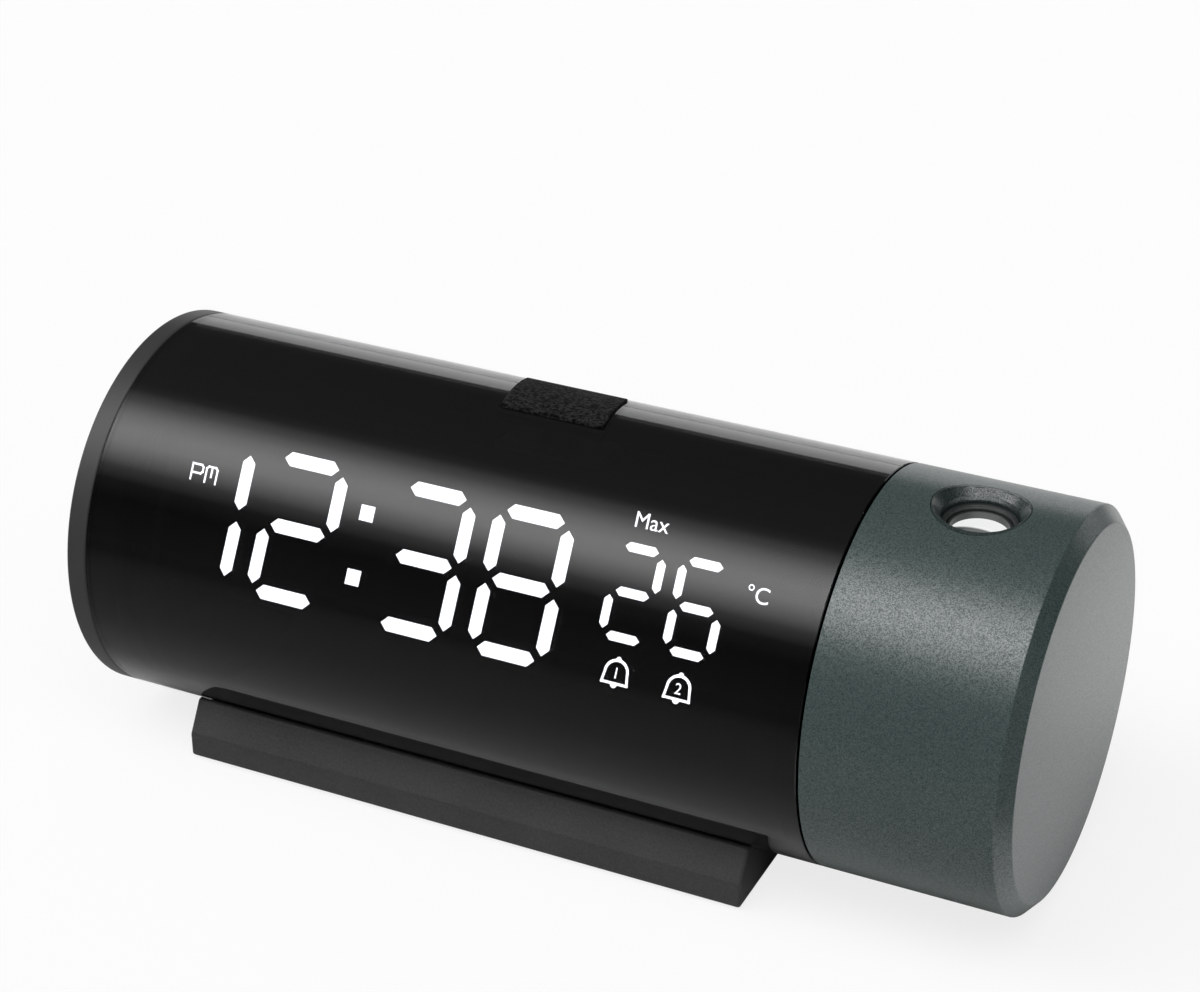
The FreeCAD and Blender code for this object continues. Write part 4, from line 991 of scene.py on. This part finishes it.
def far_half_painted_highlight(material):
    """The lens's far half glows faintly: a mask along Y paints this highlight, which stands in for the
    backdrop's reflection in the lens and the projector lamp's light.
    """
    tree = material.node_tree
    depth = wired(tree, "ShaderNodeSeparateXYZ", {"Vector": object_place(tree)}).outputs["Y"]
    # Painted highlight: the glow rises over the far half of the lens.
    edge = ranged(tree, depth, -0.4 * MM, 0.1 * MM, high=0.75)
    feed(tree, tree.nodes["Principled BSDF"], {"Emission Strength": edge})


# The lens gets a painted highlight over its far half.
far_half_painted_highlight(lens_glass)
dome = []
for step in range(lens_steps + 1):
    radius = lens_radius * step / lens_steps
    dome.append((radius, lens_crown - lens_curve + math.sqrt(lens_curve ** 2 - radius ** 2)))
lens = turned_piece("projection_lens_skin", dome + [(lens_radius, lens_bottom), (0, lens_bottom)],
                    facing(90, lens_place), 128)
smoothed(lens, 40)
dressed(lens, lens_glass, "lens_barrel", "lens_glass", "projection_lens")
aluminium = finish("aluminium", (0.5, 0.5, 0.5), (0.62, 0.62, 0.62), (0.35, 0.45), 2500, 4e-6, metallic=1.0)
painted(slide_glass, "condenser_lens", "picture_slide")
painted(aluminium, "heat_sink")


# Foot: a low black bar with sloping faces that the tube lies in, moulded with a fine texture. Four
# screws from below hold it to the housing, and it stands on four rubber pads.
foot_low, foot_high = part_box("foot")
foot_half = foot_high.y
foot_edge = 5.0 * MM
foot_lip_half = 23.4 * MM
foot_lip = 10.6 * MM
foot_middle = (foot_low.x + foot_high.x) / 2
foot_solid_end = 14.0 * MM
tube_clearance = 0.1 * MM
tube_cut_length = 0.2
pads_low, pads_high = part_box("foot_pads")
pad_disc = 3.5 * MM
pad_row = pads_high.y - pad_disc
pocket_depth = 2.6 * MM
foot_screw_row = 14.0 * MM
foot_screw_seat = foot_low.z + 1.2 * MM
foot_black = finish("foot_black", (0.026, 0.026, 0.027), (0.05, 0.05, 0.052), (0.42, 0.58), 3000, 3.5e-5)
section = [(-foot_half, foot_low.z), (foot_half, foot_low.z), (foot_half, foot_edge),
           (foot_lip_half, foot_lip), (-foot_lip_half, foot_lip), (-foot_half, foot_edge)]
foot_vertices = [Vector((x, y, z)) for x in (foot_low.x, foot_high.x) for y, z in section]
foot_faces = [list(range(6)), list(range(6, 12))]
foot_faces += [[index, (index + 1) % 6, (index + 1) % 6 + 6, index + 6] for index in range(6)]
foot = mesh_piece("foot_skin", foot_vertices, foot_faces)
rounded(foot, 0.6 * MM, 5)
tube_space = disc_profile(tube_radius + tube_clearance, 0, tube_cut_length)
cut_away(foot, turned_piece("tube_space", tube_space, lying(-tube_cut_length / 2), 512))
pocket_half = ((foot_high.x - foot_low.x) / 2 - foot_solid_end, pad_disc, pocket_depth)
foot_pockets = [local_block(Matrix.Identity(4), (foot_middle, side * pad_row, 0), pocket_half)
                for side in (-1, 1)]
cut_away(foot, mesh_piece("foot_pockets", *joined(foot_pockets)))
smoothed(foot, 28)
dressed(foot, foot_black, "clock_body", "foot_black", "foot")
screw_set("foot_screw_heads", "foot_screws", [
    (Vector((along, side * foot_screw_row, foot_screw_seat)), Vector((0, 0, -1)))
    for along in (-43.4 * MM, 14.6 * MM) for side in (-1, 1)
])

pad_rubber = finish("pad_rubber", (0.02, 0.02, 0.02), (0.04, 0.04, 0.04), (0.7, 0.85), 2500, 2e-5)
pad_profile = softened(disc_profile(pad_disc, 0, pads_high.z), 0.3 * MM)
pad_parts = [turned_piece("pad_disc", pad_profile, Matrix.Translation((along, side * pad_row, 0)), 48)
             for along in (pads_low.x + pad_disc, pads_high.x - pad_disc) for side in (-1, 1)]
foot_pads = pad_parts[0]
with bpy.context.temp_override(active_object=foot_pads, selected_editable_objects=pad_parts):
    bpy.ops.object.join()
foot_pads.name = "foot_pads_skin"
smoothed(foot_pads)
dressed(foot_pads, pad_rubber, "clock_body", "pad_rubber", "foot_pads")


# Studio: a pale floor, dim walls, a softbox up in front and a bright strip low behind, all of them
# plain tones chosen for each kind of ray, and the camera at the photograph's angle.
floor_half = 4.0
floor_front = -0.3
floor_back = 0.1
floor_tones = ((-0.3, 0.12), (-0.23, 0.18), (-0.062, 0.33), (-0.033, 0.43), (-0.018, 0.65), (0.1, 0.95))
floor_corners = [(-floor_half, -floor_half, 0), (floor_half, -floor_half, 0), (floor_half, floor_half, 0),
                 (-floor_half, floor_half, 0)]
floor = mesh_piece("studio_floor", floor_corners, [(0, 1, 2, 3)])


def grey_ramp(tree, factor, stops):
    """A grey that follows a factor through (position, tone) stops."""
    ramp = wired(tree, "ShaderNodeValToRGB", {"Fac": factor})
    elements = ramp.color_ramp.elements
    while len(elements) < len(stops):
        elements.new(0.5)
    for element, (position, tone) in zip(elements, stops):
        element.position = position
        element.color = (tone, tone, tone, 1)
    return ramp.outputs["Color"]


def floor_paint():
    """White to the camera, and darker in the clock's gloss towards the front and past the head."""
    material, tree, surface = new_material("floor_white")
    parts = wired(tree, "ShaderNodeSeparateXYZ", {"Vector": object_place(tree)}).outputs
    path = wired(tree, "ShaderNodeLightPath", {}).outputs
    depth = ranged(tree, parts["Y"], floor_front, floor_back)
    stops = [((y - floor_front) / (floor_back - floor_front), tone) for y, tone in floor_tones]
    past_head = ranged(tree, parts["X"], 0.115, 0.14, low=1.0, high=0.25)
    mirrored = maths(tree, "MULTIPLY", grey_ramp(tree, depth, stops), past_head)
    lit = number_blend(tree, path["Is Glossy Ray"], 0.9, mirrored)
    white_glow = maths(tree, "MULTIPLY", path["Is Camera Ray"], 0.8)
    # Right of x = 84 mm the floor glows for glossy rays only: a painted reflection that brightens the head's
    # end face.
    end_patch = ranged(tree, parts["X"], 0.084, 0.092, high=0.36)
    end_glow = maths(tree, "MULTIPLY", end_patch, past_head)
    feed(tree, surface, {
        "Roughness": 0.9,
        "Specular IOR Level": 0.1,
        "Base Color": number_blend(tree, path["Is Camera Ray"], lit, 0.2),
        "Emission Color": (1, 1, 1, 1),
        "Emission Strength": number_blend(tree, path["Is Glossy Ray"], white_glow, end_glow),
    })
    return material


floor.data.materials.append(floor_paint())

wall_tones = ((0, 0.12), (24, 0.08), (36, 0.18), (95, 0.22), (125, 0.14), (150, 0.08), (162.6, 0.08),
              (163.6, 0.85), (180, 1.0))
softbox_tones = ((34, 0.0), (42, 0.5), (50, 2.0), (58, 3.4), (66, 3.6), (74, 2.7), (84, 0.9), (92, 0.1),
                 (97, 0.0))
softbox_peak = 4.0


def studio_world():
    """Tones by the angle above the front horizontal, in degrees, which fade past the right end."""
    world = bpy.data.worlds.new("studio")
    world.use_nodes = True
    tree = world.node_tree
    direction = wired(tree, "ShaderNodeTexCoord", {})
    parts = wired(tree, "ShaderNodeSeparateXYZ", {"Vector": direction.outputs["Generated"]}).outputs
    angle = maths(tree, "ARCTAN2", parts["Z"], maths(tree, "MULTIPLY", parts["Y"], -1.0))
    share = ranged(tree, angle, 0.0, math.pi)
    walls = grey_ramp(tree, share, [(degrees / 180, tone) for degrees, tone in wall_tones])
    glow = grey_ramp(tree, share, [(degrees / 180, tone / softbox_peak) for degrees, tone in softbox_tones])
    total = maths(tree, "ADD", walls, maths(tree, "MULTIPLY", glow, softbox_peak))
    right_end = ranged(tree, parts["X"], 0.35, 0.75, low=1.0, high=0.15, interpolation_type="SMOOTHSTEP")
    ended = maths(tree, "MULTIPLY", total, right_end)
    path = wired(tree, "ShaderNodeLightPath", {})
    feed(tree, tree.nodes["Background"], {
        "Color": (1, 1, 1, 1),
        "Strength": number_blend(tree, path.outputs["Is Camera Ray"], ended, 1.0),
    })
    return world


bpy.context.scene.world = studio_world()

camera_place = Vector((0.1889719, -0.3926252, 0.301244))
camera_yaw = 0.4473
camera_pitch = 0.513
camera_roll = -0.0051
view = Vector((-math.sin(camera_yaw) * math.cos(camera_pitch), math.cos(camera_yaw) * math.cos(camera_pitch),
               -math.sin(camera_pitch)))
level = Vector((math.cos(camera_yaw), math.sin(camera_yaw), 0))
upward = level.cross(view)
right = level * math.cos(camera_roll) + upward * math.sin(camera_roll)
top = upward * math.cos(camera_roll) - level * math.sin(camera_roll)
camera_data = bpy.data.cameras.new("photo_view")
camera_data.lens = 89.562
camera_data.sensor_width = 36.0
camera_data.sensor_fit = "HORIZONTAL"
camera = in_scene("photo_view", camera_data)
camera.matrix_world = Matrix.Translation(camera_place) @ Matrix((right, top, -view)).transposed().to_4x4()
bpy.context.scene.camera = camera
bpy.context.scene.view_settings.view_transform = "Standard"
